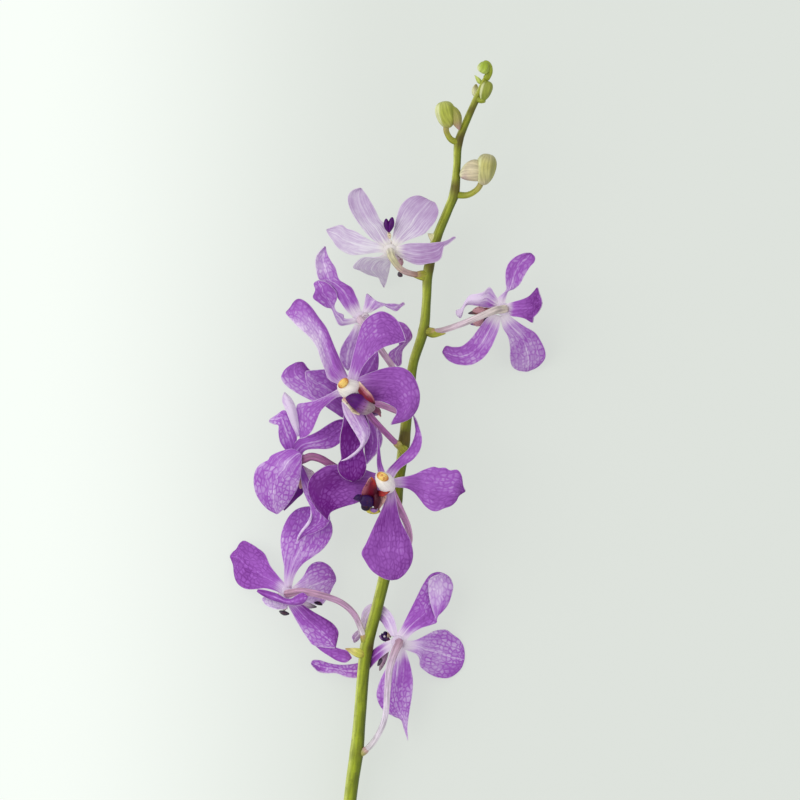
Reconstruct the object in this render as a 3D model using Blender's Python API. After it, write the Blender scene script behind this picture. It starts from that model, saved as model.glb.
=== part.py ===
# Cut spray of a mokara orchid, lying on a flat surface.
# Nine open blooms and four buds on one green stem. The spray lies along +Y,
# its tip at +Y, and its open side looks up. Lengths in the data are millimetres.

import math

import bmesh
import bpy
from mathutils import Matrix, Vector

MM = 0.001

# Driving sizes of the spray
SPRAY_CENTRE = (-5.26, -61.92)     # middle of the plan, moved to the origin
GAP = 0.3                        # between two pieces that meet
LEVELLED = 0.2                   # what lies this low is set on the surface
TEPAL_THICKNESS = 0.7
HUB_RADIUS = 2.6
HUB_HEIGHT = 2.0
STUB_LENGTH = 5.0                # socket on the stem that carries a pedicel
STUB_RADIUS = 1.5
STUB_TAPER = (1.15, 0.9)         # shares of the radius at the stem and at the end
PEDICEL_RADIUS = 1.3
PEDICEL_TAPER = (0.95, 1.2)
PEDICEL_ENTRY = 2.6              # straight run into the back of the hub
PEDICEL_STEP = 3.4               # between the rings of its mesh
COLUMN_RADIUS = 2.5
COLUMN_ROOT = 0.7                # share of the radius at the column's root
COLUMN_LENGTH = 5.6
CAP_RADIUS = 2.1
CAP_HEIGHT = 0.9
CAP_RIM = 0.9                    # flat ring round the cap's raised crown
CAP_CROWN = 0.7
BUD_STALK_RADII = (1.4, 1.15)    # at the stem and at the bud
SHARP_ANGLE = 50                 # degrees between faces that meet in an edge

# Lip of a bloom: half widths and half depths of its tongue, spur and side lobes, and
# the usual routes, as (out along the face, towards the lip) from the hub
TONGUE_WIDTHS = [1.6, 2.3, 2.0, 1.5]
TONGUE_DEPTHS = [1.2, 1.3, 1.2, 0.9]
TONGUE_ROUTE = [(2.2, 3.4), (5.2, 6.0), (7.4, 8.0), (9.4, 8.6)]
SPUR_WIDTHS = [1.3, 1.2, 1.2]
SPUR_ROUTE = [(2.8, 7.0), (2.2, 9.4)]
LOBE_WIDTHS = [1.4, 2.4, 1.6]
LOBE_DEPTHS = [0.7, 0.5, 0.45]
LOBE_ROUTE = [(0.0, 0.4), (1.6, 2.2), (4.4, 3.0)]     # out along the face, to the side

# How finely a blade is divided, and how it is laid on its rib
BLADE_ALONG = 6
BLADE_ACROSS = 4
RIB_SAMPLES = 29
TIP_CROWDING = 1.25              # above 1 the rows lie closer at the tip
TIP_ROUNDING = 0.11              # how far the corners of the end draw back
TIP_POINT = 0.05                 # a full point, as a share of the length
CURL_RISE = 1.6                  # the margins curl fully at 1 / 1.6 of the length

# Stem: plan position, height of its axis and radius, from the cut end to the tip
STEM = [
    (-29.2, -260.0, 2.6, 2.6), (-24.8, -210.0, 5.2, 2.6), (-19.9, -160.0, 8.6, 2.6),
    (-17.4, -141.0, 10.4, 2.75), (-16.2, -128.0, 11.8, 2.45), (-14.6, -108.0, 14.0, 2.4),
    (-13.2, -98.0, 15.1, 2.6), (-11.6, -92.0, 15.8, 2.35), (-8.4, -80.0, 17.4, 2.3),
    (-5.2, -66.0, 19.0, 2.45), (-1.6, -44.0, 21.2, 2.1), (-0.4, -32.0, 22.2, 2.1),
    (1.4, -19.2, 23.0, 2.3), (2.8, -5.2, 24.0, 2.1), (3.8, 4.0, 24.6, 2.1),
    (5.4, 15.0, 25.2, 1.9), (9.4, 28.0, 26.0, 2.05), (10.6, 40.0, 26.6, 1.8),
    (11.2, 51.0, 27.1, 2.0), (14.4, 64.0, 27.9, 1.85), (19.2, 76.0, 28.4, 1.8),
    (21.8, 83.0, 28.7, 1.9), (22.8, 94.0, 29.2, 1.5), (23.4, 103.0, 30.0, 1.65),
    (26.8, 112.0, 30.8, 1.45), (32.2, 124.0, 31.9, 1.25), (34.6, 129.2, 32.4, 1.15),
]
STEM_POINTS = 50

# Small leafy scales on the stem: root, tip, half width and half thickness
BRACTS = [
    ((-14.6, -99.4, 16.0), (-21.4, -100.4, 15.4), 2.0, 0.9),
    ((14.6, 64.2, 28.0), (11.0, 66.4, 28.6), 1.5, 0.8),
    ((32.6, 126.4, 32.0), (30.0, 129.6, 33.0), 0.9, 0.6),
]


def tepal(rib, width, claw=0.26, belly=0.66, roll=(0, 0, 0), curl=(0, 0), tip=0.0,
          ends=0.56, skew=0.0):
    """One tepal: its rib from the hub outwards, its widest measure and its form.

    claw is the share of the width at the root, belly the place of the widest part,
    roll turns the blade about its rib (root, middle, tip), curl bends its left and
    right margins up, tip adds a point, ends is the share of the width left at the end
    and skew moves the blade to the right of the rib.
    """
    return dict(rib=rib, width=width, claw=claw, belly=belly, roll=roll, curl=curl,
                tip=tip, ends=ends, skew=skew)


# Each bloom: hub, the way its face looks, the way its lip points from the hub,
# the pedicel's route from the stem, and its tepals, with ribs measured from the hub
BLOOMS = {
    "bloom_1": dict(
        hub=(-4.0, 60.0, 30.0), face=(-0.1, 0.45, -0.88), lip=(0.0, 0.89, 0.45),
        spur=[(5.4, 0.0, -4.6), (6.0, -4.4, -4.4), (4.4, -10.0, -2.8)],
        pedicel=[(11.1, 50.4, 27.1), (6.6, 50.2, 28.8), (2.4, 51.2, 31.5),
                 (-0.6, 53.2, 34.2), (-3.2, 57.0, 35.0)],
        tepals=[
            tepal([(-0.8, 0.8, 0), (-6.8, 10, 1.5), (-12, 18, 2), (-14.2, 24.6, 0.5)], 11,
                  curl=(15, 10), tip=0.6),
            tepal([(1.2, 1.6, 0), (5.4, 7.8, 1), (11.8, 15.0, 1.5), (18.2, 20.8, 0)], 14.5,
                  curl=(10, 10), ends=0.65),
            tepal([(-3.2, 0, 0), (-14, 2.8, -1.5), (-25, 6.8, -4)], 11.5, curl=(8, 8)),
            tepal([(1.6, -0.4, 0), (10, -1.8, 2), (18.4, -0.8, 3.4), (26.4, 5.0, 3)], 9.6,
                  belly=0.42, ends=0.12, curl=(0, 25)),
            tepal([(-1.4, -3.2, -0.9), (-4.8, -6.4, -12), (-6.2, -10, -24),
                   (-6.2, -14.0, -30.9)], 14, ends=0.8, tip=0.5),
        ]),
    "bloom_2": dict(
        hub=(41.2, 36.4, 25.0), face=(-0.25, -0.05, -0.97), lip=(-0.96, -0.15, -0.1),
        spur=[(-4.6, -0.7, -2.9), (-8.5, -0.9, -2.7), (-14.0, -1.8, -2.0)],
        pedicel=[(9.2, 27.6, 26.0), (15.5, 27.6, 27.0), (24.0, 30.2, 28.6),
                 (31.0, 33.0, 30.2), (37.4, 35.6, 30.6)],
        tepals=[
            tepal([(0.4, 2.0, 0), (1.8, 7.2, 1), (5.6, 14.0, 1), (11.4, 22, -1)], 10,
                  claw=0.2, belly=0.62, roll=(35, 5, 0), tip=0.4),
            tepal([(1.8, 0, 0), (8, 0.4, 4), (13.4, 1.4, 9), (15.4, 1.8, 13)], 13.5,
                  belly=0.8, ends=0.95),
            tepal([(0.4, -3.2, -0.6), (5, -9.5, -8), (9.6, -17, -19), (11.8, -23.8, -25.5)], 15.5,
                  curl=(5, 5), ends=0.72),
            tepal([(-2.4, -2.6, -0.3), (-6, -11.6, -1.5), (-13, -18.2, -3), (-24, -17.4, -5)], 10.4,
                  claw=0.45, belly=0.6, curl=(15, 5)),
            tepal([(-2.4, 1.4, 0), (-8, 4.4, 1), (-13.2, 3.2, 1), (-16.6, -0.4, -1),
                   (-18, -3.4, -3)], 7.4, belly=0.35, ends=0.3, curl=(0, 40), tip=0.4),
        ]),
    "bloom_3": dict(
        hub=(-15.6, 32.8, 28.0), face=(0.0, 0.25, -0.97), lip=(0.8, 0.55, 0.14),
        tongue=[(2.6, 1.1, -2.2), (5.6, 3.0, -5.2), (8.2, 4.4, -8.0), (9.4, 4.8, -9.6)],
        spur=[(4.8, 2.0, -4.8), (7.0, 2.4, -6.2), (9.4, 2.8, -6.0)],
        pedicel=[(3.8, 4.8, 24.6), (-0.8, 9.0, 26.0), (-3.6, 14.2, 28.0),
                 (-8.0, 20.6, 31.2), (-12.4, 27.2, 33.4)],
        tepals=[
            tepal([(-1.6, 1.6, -0.3), (-5.6, 8.4, -1), (-11.4, 15.2, -3), (-15.4, 22, -4),
                   (-14.4, 28.4, -4)], 10, ends=0.2, curl=(35, 0), tip=0.6),
            tepal([(-3.2, -1.2, -0.7), (-8, -1.2, -6), (-11.4, 4, -9), (-18.4, 11.6, -10)], 11.5,
                  claw=0.25, belly=0.78, ends=0.75),
            tepal([(1.2, 2.4, 0), (5.0, 5.0, -1), (11, 4.6, -3), (17.2, 5.8, -6)], 7,
                  claw=0.35, belly=0.3, ends=0.15, roll=(0, 30, 60), skew=-0.2),
            tepal([(-1.2, -2, 0), (-3.6, -9.6, 0), (-5.2, -20, -0.5)], 9.5, curl=(15, 0)),
            tepal([(2.2, -0.8, -0.6), (9.6, -2.2, -4), (15.8, -4.8, -6), (17, -9.6, -8),
                   (14, -18.4, -9.5)], 10, belly=0.5, roll=(0, 0, 70), curl=(5, 5)),
        ]),
    "bloom_4": dict(
        hub=(-19.2, 4.8, 44.0), face=(-0.1, -0.05, 0.99), lip=(0.74, -0.67, 0.0),
        column=(-5.0, 1.6, 5.6),
        tongue=[(2.6, -2.8, 1.9), (6.0, -6.0, 4.2), (4.6, -5.4, 7.8), (0.6, -3.8, 9.2)],
        spur=[(4.2, -4.2, 1.8), (7.4, -7.6, -0.6), (9.4, -9.6, -3.4)],
        pedicel=[(1.4, -19.4, 23.0), (-1.6, -17.2, 25.6), (-6.0, -12.8, 30.4),
                 (-11.4, -7.0, 36.2), (-15.6, -1.0, 39.6)],
        tepals=[
            tepal([(-2.4, 3.0, 0.4), (-8.8, 14, 1.6), (-14.8, 24, 1), (-21.2, 32.6, -1),
                   (-26.6, 31, -4)], 9.5, claw=0.42, curl=(50, 0), tip=0.4),
            tepal([(0, 3.2, 0.4), (3.4, 13, 2.4), (10.4, 23, 3), (20.8, 23.4, 1.6)], 15,
                  curl=(5, 5), ends=0.6),
            tepal([(3.4, 1.6, 0.4), (12.2, 2.4, 2.2), (19.4, -1.2, 2.2), (21.2, -7.4, 0.6),
                   (16.0, -14.4, -2)], 13, belly=0.58, ends=0.3, curl=(0, 5)),
            tepal([(-0.6, -4.0, 0.4), (2.4, -14.4, 1.6), (2.4, -24, 2.4), (0.4, -33, 3.6),
                   (-0.8, -35.6, 8), (-1.2, -30.6, 12)], 11, claw=0.4, belly=0.62,
                  curl=(10, 45), ends=0.7),
            tepal([(-3.6, -1.4, 0.4), (-11.6, -5.4, 1.6), (-17.4, -11, 0.4),
                   (-19.0, -19.4, -3)], 18, claw=0.25, belly=0.6, curl=(5, 75), skew=0.2),
        ]),
    "bloom_5": dict(
        hub=(-16.8, 0.0, 26.0), face=(0.15, -0.1, -0.98), lip=(0.84, -0.54, 0.18),
        spur=[(4.6, -2.2, -2.8), (7.8, -3.2, -1.8), (11.4, -5.6, -0.6)],
        pedicel=[(2.8, -5.2, 24.0), (-1.4, -4.4, 26.6), (-6.4, -2.4, 29.8),
                 (-11.0, -1.0, 31.8), (-15.2, -0.2, 31.4)],
        tepals=[
            tepal([(-3.0, 0.8, -0.6), (-11.2, 4.8, -4), (-21.2, 7.8, -7), (-30.4, 9.8, -9)], 12,
                  ends=0.7),
            tepal([(-2.8, -1.2, 0.1), (-9, 1.4, 4.6), (-20, 6.4, 9)], 14,
                  claw=0.2, belly=0.75, ends=0.85),
            tepal([(0.6, 2.4, -0.4), (2.8, 10.8, -4), (4, 20, -7)], 8.5),
            tepal([(1.6, -2.4, -0.4), (6.2, -10.8, -3.4), (8, -18, -6), (4.4, -26, -8)], 9.5,
                  curl=(20, 0)),
            tepal([(-1.2, -2.6, -0.8), (-4, -9.6, -8), (-5, -15, -17)], 11),
        ]),
    "bloom_6": dict(
        hub=(-40.8, -22.8, 30.0), face=(-0.35, -0.3, -0.89), lip=(0.95, -0.25, -0.3),
        column=(-2.0, -1.2, -5.6),
        pedicel=[(-1.2, -40.0, 21.6), (-6.0, -37.6, 22.6), (-12.0, -34.4, 26.6),
                 (-20.0, -30.2, 31.6), (-28.0, -25.2, 34.6), (-34.6, -22.2, 36.4)],
        tepals=[
            tepal([(-1.2, 1.6, 0.6), (-5.4, -3.4, 1.6), (-9.2, -10.6, -0.6),
                   (-9.2, -22.4, -7)], 18.5, claw=0.5, belly=0.6, curl=(5, 5), ends=0.35),
            tepal([(-1.8, 2.6, -0.2), (-4.8, 8.8, 0), (-6.2, 13.6, -0.6), (-11.8, 14.2, -3)], 8.5,
                  claw=0.45, ends=0.3, curl=(10, 5)),
            tepal([(0.8, 2.8, -0.2), (8, 6.6, 0.6), (19.4, 12.8, 0.6)], 10, claw=0.4),
            tepal([(1.6, -2.6, -0.6), (2.8, -11.2, -3), (5.8, -20.4, -4.4), (7, -27, -5),
                   (0.6, -33.4, -5)], 8.5, claw=0.35, curl=(5, 30), ends=0.3),
            tepal([(-0.8, -4.0, 0.4), (-0.8, -11.4, -8), (-3.6, -20.6, -14.5)], 11,
                  claw=0.2),
        ]),
    "bloom_7": dict(
        hub=(-5.6, -33.2, 40.0), face=(-0.3, 0.05, 0.95), lip=(-0.77, -0.62, -0.2),
        column=(-3.4, 2.6, 6.6),
        tongue=[(-2.8, -3.0, 2.6), (-6.4, -5.6, 3.6), (-9.8, -6.8, 5.0), (-12.6, -6.2, 7.0)],
        spur=[(-3.2, -5.0, 1.8), (-5.2, -9.4, -0.4), (-5.6, -11.6, -4.0)],
        pedicel=[(-5.2, -66.0, 19.0), (-0.4, -63.6, 20.6), (3.6, -57.6, 25.0),
                 (3.2, -51.0, 29.8), (0.0, -43.6, 33.6), (-3.2, -37.0, 35.2)],
        tepals=[
            tepal([(-2.8, 1.0, 0.4), (-14, -1.0, 1.4), (-24.0, -3.0, 1), (-27.6, -11.0, -3)], 17.5,
                  curl=(5, 5), ends=0.65),
            tepal([(-0.8, 2.6, 0.2), (-2, 10.8, 1), (-3, 18.6, 2)], 8.5, roll=(10, 82, 82)),
            tepal([(1.6, 2.8, 0.2), (7.6, 9.6, 0.6), (12.8, 15.2, -1), (13, 21.2, -3),
                   (11.2, 26.8, -5)], 8.6, claw=0.45, belly=0.5, roll=(20, 58, 50), ends=0.3),
            tepal([(3.0, -0.2, 0.2), (13.6, -0.6, 1.4), (23.6, -2, 2), (31, -3.2, 0)], 17,
                  claw=0.28, belly=0.7, ends=0.6, tip=0.6),
            tepal([(1.6, -3.4, 0.2), (1.2, -14.8, -0.6), (0.8, -26.8, -4), (1.6, -38.2, -8)], 20,
                  claw=0.22, belly=0.7, ends=0.55, curl=(5, 5)),
        ]),
    "bloom_8": dict(
        hub=(-44.8, -76.8, 20.0), face=(-0.3, -0.4, -0.87), lip=(-0.15, -0.88, 0.44),
        spur=[(2.4, -3.4, -4.6), (6.4, -3.6, -5.1), (11.4, -4.2, -3.8)],
        pedicel=[(-13.4, -98.4, 15.2), (-16.8, -93.4, 17.4), (-18.6, -86.6, 21.0),
                 (-23.6, -81.0, 24.4), (-31.0, -78.2, 26.6), (-38.6, -76.6, 26.2)],
        tepals=[
            tepal([(0.2, 2.6, 0.2), (1.6, 12.6, 0.2), (7.4, 22.6, -0.6), (10.8, 32, -1.8)], 20,
                  claw=0.22, belly=0.64, ends=0.6, curl=(5, 5)),
            tepal([(-2.4, 1.6, -0.4), (-8.8, 7.0, -8.6), (-15.8, 13.0, -17.2),
                   (-22.4, 17.0, -20.5)], 19, claw=0.26, belly=0.7, ends=0.7),
            tepal([(2.6, 1.2, -0.6), (8.6, 3.8, -4.6), (13.6, 6.6, -8.6), (18.6, 7.8, -12.6)], 14,
                  claw=0.28, belly=0.66, ends=0.65),
            tepal([(1.8, -3.0, -0.6), (8, -10.6, -2.6), (13.6, -17, -4.4), (19, -22.4, -6.4),
                   (25.2, -26.6, -7.6)], 12.5, claw=0.45, belly=0.55, ends=0.15, curl=(10, 0)),
            tepal([(-0.8, -2.8, 0.6), (-1.4, -5.2, 4.4), (-2.2, -5.6, 9.4), (-2.6, -3.6, 13.4)], 20,
                  claw=0.3, belly=0.75, ends=0.85),
        ]),
    "bloom_9": dict(
        hub=(-0.8, -96.8, 20.0), face=(-0.15, 0.1, -0.98), lip=(-0.94, 0.2, 0.14),
        tongue=[(-3.2, 1.4, -2.8), (-4.8, 2.8, -4.4), (-6.2, 4.4, -5.8)],
        spur=[(-3.2, -1.0, -5.4), (-2.2, -5.8, -6.9), (-7.2, -11.0, -7.0)],
        pedicel=[(-17.2, -142.0, 10.4), (-13.0, -139.4, 12.0), (-9.2, -134.6, 15.4),
                 (-6.2, -127.0, 19.6), (-5.0, -116.0, 23.6), (-4.2, -107.4, 25.8),
                 (-2.2, -100.6, 25.8)],
        tepals=[
            tepal([(1.8, 2.4, -0.4), (8.2, 11.4, -3), (14.4, 20.0, -6.4), (19.4, 27.0, -9)], 13.5,
                  claw=0.24, belly=0.72, curl=(0, 30), tip=0.4),
            tepal([(3.3, -0.9, -0.9), (10.4, -3.2, -11.2), (17.2, -5.0, -20.4),
                   (26, -6.2, -20.8)], 19.5, claw=0.22, belly=0.66, ends=0.7),
            tepal([(0, -3, -0.6), (-0.8, -13, -4), (-0.2, -24, -7), (3.2, -39.2, -9)], 14.4,
                  claw=0.28, belly=0.36, ends=0.08, curl=(5, 5)),
            tepal([(-3.0, -1.4, -1.0), (-9.6, -4.6, -9.8), (-19, -9.4, -12.8), (-26.4, -11, -12.2),
                   (-34, -8.4, -9.6)], 8.6, claw=0.3, belly=0.4, ends=0.3),
            tepal([(-1.4, 2.6, -1.2), (-4.4, 9.4, -6), (-8.8, 13.4, -9), (-13.2, 11.4, -10),
                   (-15.4, 6.4, -10), (-17, 1.8, -9)], 7, claw=0.38, belly=0.3, ends=0.3),
        ]),
}

# Buds: the pedicel's route, the body's base and tip, its half width and half depth
BUDS = {
    "bud_1": dict(pedicel=[(22.6, 82.0, 28.6), (27.0, 82.0, 29.2), (30.8, 84.2, 30.4),
                           (32.8, 87.4, 31.4)],
                  base=(33.2, 88.0, 31.6), tip=(36.0, 98.4, 33.0), half=(4.6, 4.0),
                  lobe=((33.0, 91.6, 31.6), (24.6, 90.6, 31.0), 2.6)),
    "bud_2": dict(pedicel=[(23.6, 103.0, 30.0), (20.4, 104.2, 31.0), (18.6, 107.2, 32.2),
                           (18.4, 109.6, 33.0)],
                  base=(18.2, 110.2, 33.2), tip=(17.0, 119.4, 34.4), half=(3.9, 3.5),
                  lobe=((19.6, 115.6, 33.6), (23.2, 108.8, 33.0), 2.0)),
    "bud_3": dict(pedicel=[(31.0, 120.4, 31.6), (32.6, 119.8, 32.8), (33.8, 120.2, 33.4)],
                  base=(34.2, 120.8, 33.6), tip=(36.6, 127.4, 35.2), half=(1.9, 1.9),
                  lobe=None),
    "bud_4": dict(pedicel=[(34.4, 128.4, 32.3), (36.2, 131.2, 33.2), (36.2, 134.0, 34.2),
                           (34.8, 135.4, 34.8), (33.6, 134.8, 35.0)],
                  base=(33.4, 134.6, 35.0), tip=(30.4, 129.8, 35.2), half=(1.7, 1.7),
                  lobe=None),
}

COLOURS = {
    "stem": (0.24, 0.32, 0.07), "tepals": (0.36, 0.15, 0.54), "lip": (0.16, 0.03, 0.12),
    "column": (0.86, 0.82, 0.74), "cap": (0.80, 0.52, 0.12),
    "pedicel": (0.55, 0.33, 0.47), "bud": (0.42, 0.42, 0.16),
}


def material(name, colour, roughness=0.5):
    shade = bpy.data.materials.new(name)
    shade.use_nodes = True
    shader = shade.node_tree.nodes["Principled BSDF"]
    shader.inputs["Base Color"].default_value = (*colour, 1.0)
    shader.inputs["Roughness"].default_value = roughness
    shader.inputs["Metallic"].default_value = 0.0
    return shade


def smooth_path(points, count):
    """Even samples of a smooth curve through the points."""
    pts = [Vector(p[:3]) for p in points]
    dense = []
    steps = 24
    for i in range(len(pts) - 1):
        before = pts[i - 1] if i > 0 else 2 * pts[0] - pts[1]
        after = pts[i + 2] if i + 2 < len(pts) else 2 * pts[-1] - pts[-2]
        for k in range(steps):
            t = k / steps
            dense.append(0.5 * (2 * pts[i] + (pts[i + 1] - before) * t
                                + (2 * before - 5 * pts[i] + 4 * pts[i + 1] - after) * t ** 2
                                + (3 * pts[i] - before - 3 * pts[i + 1] + after) * t ** 3))
    dense.append(pts[-1])
    lengths = [0.0]
    for a, b in zip(dense, dense[1:]):
        lengths.append(lengths[-1] + (b - a).length)
    samples = []
    j = 0
    for k in range(count):
        goal = lengths[-1] * k / (count - 1)
        while j < len(dense) - 2 and lengths[j + 1] < goal:
            j += 1
        span = max(lengths[j + 1] - lengths[j], 1e-9)
        samples.append(dense[j].lerp(dense[j + 1], min(1.0, (goal - lengths[j]) / span)))
    return samples


def frames(path, up):
    """The tangent and the face normal at each sample, turned as little as possible."""
    result = []
    normal = Vector(up)
    for i, point in enumerate(path):
        ahead = path[min(i + 1, len(path) - 1)]
        behind = path[max(i - 1, 0)]
        tangent = (ahead - behind).normalized()
        normal = (normal - tangent * normal.dot(tangent)).normalized()
        result.append((point, tangent, normal.copy()))
    return result


def at(values, s):
    """A value read between evenly spaced ones, s from 0 to 1."""
    place = s * (len(values) - 1)
    i = min(int(place), len(values) - 2)
    return values[i] + (values[i + 1] - values[i]) * (place - i)


def blade_width(spec, s):
    """Half width of a tepal at s: narrow claw, full belly, blunt end."""
    claw, belly, ends = spec["claw"], spec["belly"], spec["ends"]
    if s < belly:
        rise = s / belly
        return claw + (1 - claw) * rise * rise * (3 - 2 * rise)
    fall = (s - belly) / (1 - belly)
    return ends + (1 - ends) * math.sqrt(max(0.0, 1 - fall * fall))


def blade_mesh(spec, hub, up):
    """A thin tepal as a closed shell that follows its rib."""
    rib = [Vector(hub) + Vector(p) for p in [(0, 0, 0)] + spec["rib"]]
    stations = frames(smooth_path(rib, RIB_SAMPLES), up)
    length = sum((b[0] - a[0]).length for a, b in zip(stations, stations[1:]))
    shell = bmesh.new()
    bmesh.ops.create_grid(shell, x_segments=BLADE_ACROSS, y_segments=BLADE_ALONG, size=0.5)
    for vert in shell.verts:
        u = 2 * vert.co.x
        s = 1 - (0.5 - vert.co.y) ** TIP_CROWDING
        blunt = TIP_ROUNDING * u * u * s ** 3
        reach = min(1.0, s * (1 - blunt))
        place = reach * (RIB_SAMPLES - 1)
        i = min(int(place), RIB_SAMPLES - 2)
        mix = place - i
        point = stations[i][0].lerp(stations[i + 1][0], mix)
        tangent = stations[i][1].lerp(stations[i + 1][1], mix).normalized()
        normal = stations[i][2].lerp(stations[i + 1][2], mix).normalized()
        normal.rotate(Matrix.Rotation(math.radians(at(spec["roll"], s)), 3, tangent))
        side = tangent.cross(normal)
        half = spec["width"] / 2 * blade_width(spec, s)
        bend = math.radians(spec["curl"][0 if u < 0 else 1]) * min(1.0, s * CURL_RISE)
        angle = bend * abs(u)
        across = half * (math.sin(angle) / bend if bend > 1e-6 else abs(u))
        lift = half * ((1 - math.cos(angle)) / bend if bend > 1e-6 else 0.0)
        across = math.copysign(across, u) + spec["skew"] * half
        vert.co = point + side * across + normal * lift
        if s > 0.999 and abs(u) < 0.1:
            vert.co += tangent * spec["tip"] * length * TIP_POINT
        vert.co.z = max(vert.co.z, TEPAL_THICKNESS / 2)
    bmesh.ops.triangulate(shell, faces=shell.faces[:])
    shell.normal_update()
    thicken = shell.verts.layers.float_vector.new("thicken")
    for vert in shell.verts:
        vert[thicken] = vert.normal * TEPAL_THICKNESS
        vert.co -= vert.normal * TEPAL_THICKNESS / 2
    grown = bmesh.ops.extrude_face_region(shell, geom=shell.faces[:], use_keep_orig=True)["geom"]
    for vert in (item for item in grown if isinstance(item, bmesh.types.BMVert)):
        vert.co += vert[thicken]
    return outward(shell)


def fleshy_mesh(path, half_widths, half_depths, up, around=8, rings=7):
    """A rounded solid along a path, wide across it and less deep."""
    stations = frames(smooth_path(path, 2 * rings + 1), up)
    solid = bmesh.new()
    bmesh.ops.create_uvsphere(solid, u_segments=around, v_segments=rings, radius=1.0)
    for vert in solid.verts:
        s = max(0.0, min(1.0, (1 + vert.co.z) / 2))
        place = s * (len(stations) - 1)
        i = min(int(place), len(stations) - 2)
        mix = place - i
        point = stations[i][0].lerp(stations[i + 1][0], mix)
        tangent = stations[i][1].lerp(stations[i + 1][1], mix).normalized()
        normal = stations[i][2].lerp(stations[i + 1][2], mix).normalized()
        side = tangent.cross(normal)
        vert.co = (point + side * vert.co.x * at(half_widths, s)
                   + normal * vert.co.y * at(half_depths, s))
    return outward(solid)


def outward(solid):
    """Turn the faces of a closed solid outwards."""
    bmesh.ops.recalc_face_normals(solid, faces=solid.faces[:])
    if solid.calc_volume(signed=True) < 0:
        bmesh.ops.reverse_faces(solid, faces=solid.faces[:])
    return solid


def disc_mesh(centre, axis, radius_low, radius_high, height, around=12):
    """A short round solid whose middle is at the centre."""
    solid = bmesh.new()
    turn = Vector(axis).to_track_quat("Z", "Y").to_matrix().to_4x4()
    bmesh.ops.create_cone(solid, cap_ends=True, cap_tris=False, segments=around,
                          radius1=radius_low, radius2=radius_high, depth=height,
                          matrix=Matrix.Translation(centre) @ turn)
    return solid


def tube_mesh(path, radii, around=7):
    """A round rod along a path, flat at both ends."""
    stations = frames(path, (0.12, 0.2, 1.0))
    last = len(stations) - 1
    solid = bmesh.new()
    bmesh.ops.create_cone(solid, cap_ends=True, cap_tris=False, segments=around,
                          radius1=1.0, radius2=1.0, depth=1.0)
    lengthwise = [edge for edge in solid.edges
                  if abs(edge.verts[0].co.z - edge.verts[1].co.z) > 0.5]
    bmesh.ops.subdivide_edges(solid, edges=lengthwise, cuts=last - 1)
    for vert in solid.verts:
        i = round((vert.co.z + 0.5) * last)
        point, tangent, normal = stations[i]
        side = normal.cross(tangent)
        vert.co = point + (side * vert.co.x + normal * vert.co.y) * radii[i]
    return outward(solid)


def as_object(name, solid):
    """Turn a bmesh in millimetres into an object in metres."""
    centre = Vector((*SPRAY_CENTRE, 0.0))
    for vert in solid.verts:
        vert.co = (vert.co - centre) * MM
    mesh = bpy.data.meshes.new(name)
    solid.to_mesh(mesh)
    solid.free()
    thing = bpy.data.objects.new(name, mesh)
    bpy.context.scene.collection.objects.link(thing)
    return thing


def joined(name, solids, shade, flatten=False):
    """One solid from several that run into each other."""
    body = as_object(name, solids[0])
    if len(solids) > 1:
        rest = bpy.data.collections.new(name + "_rest")
        bpy.context.scene.collection.children.link(rest)
        for i, solid in enumerate(solids[1:]):
            piece = as_object(f"{name}_rest_{i}", solid)
            bpy.context.scene.collection.objects.unlink(piece)
            rest.objects.link(piece)
        union = body.modifiers.new("Join", "BOOLEAN")
        union.operation = "UNION"
        union.operand_type = "COLLECTION"
        union.collection = rest
        union.solver = "MANIFOLD"
        bpy.context.view_layer.update()
        graph = bpy.context.evaluated_depsgraph_get()
        whole = bpy.data.meshes.new_from_object(body.evaluated_get(graph))
        body.modifiers.clear()
        body.data = whole
        for piece in list(rest.objects):
            bpy.data.objects.remove(piece)
        bpy.data.collections.remove(rest)
    if flatten:
        for vert in body.data.vertices:
            if vert.co.z < LEVELLED * MM:
                vert.co.z = 0.0
    body.data.materials.clear()
    body.data.materials.append(shade)
    body.data.shade_smooth()
    body.data.set_sharp_from_angle(angle=math.radians(SHARP_ANGLE))
    return body


def cut_path(path, start, end):
    """The part of an evenly sampled path between two distances from its start."""
    total = sum((b - a).length for a, b in zip(path, path[1:]))
    step = total / (len(path) - 1)
    count = max(3, round((end - start) / step) + 1)
    result = []
    for k in range(count):
        place = (start + (end - start) * k / (count - 1)) / step
        i = min(int(place), len(path) - 2)
        result.append(path[i].lerp(path[i + 1], place - i))
    return result


def path_length(path):
    return sum((b - a).length for a, b in zip(path, path[1:]))


def tapered(radius, taper, count):
    """The radii of a rod that goes evenly from one share of a radius to another."""
    return [radius * at(taper, i / (count - 1)) for i in range(count)]


def stub(route, radius, length):
    """The socket on the stem at the start of a pedicel's route."""
    path = cut_path(route, 0.0, length)
    return tube_mesh(path, tapered(radius, STUB_TAPER, len(path)))


def bloom_route(bloom):
    """A pedicel's whole route, from the stem's axis to the back of the hub."""
    hub, face = Vector(bloom["hub"]), Vector(bloom["face"]).normalized()
    back = hub - face * (HUB_HEIGHT / 2 + 1.5 * GAP)
    points = bloom["pedicel"] + [tuple(back - face * PEDICEL_ENTRY), tuple(back)]
    length = sum(math.dist(a, b) for a, b in zip(points, points[1:]))
    return smooth_path(points, round(length / PEDICEL_STEP) + 2)


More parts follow.
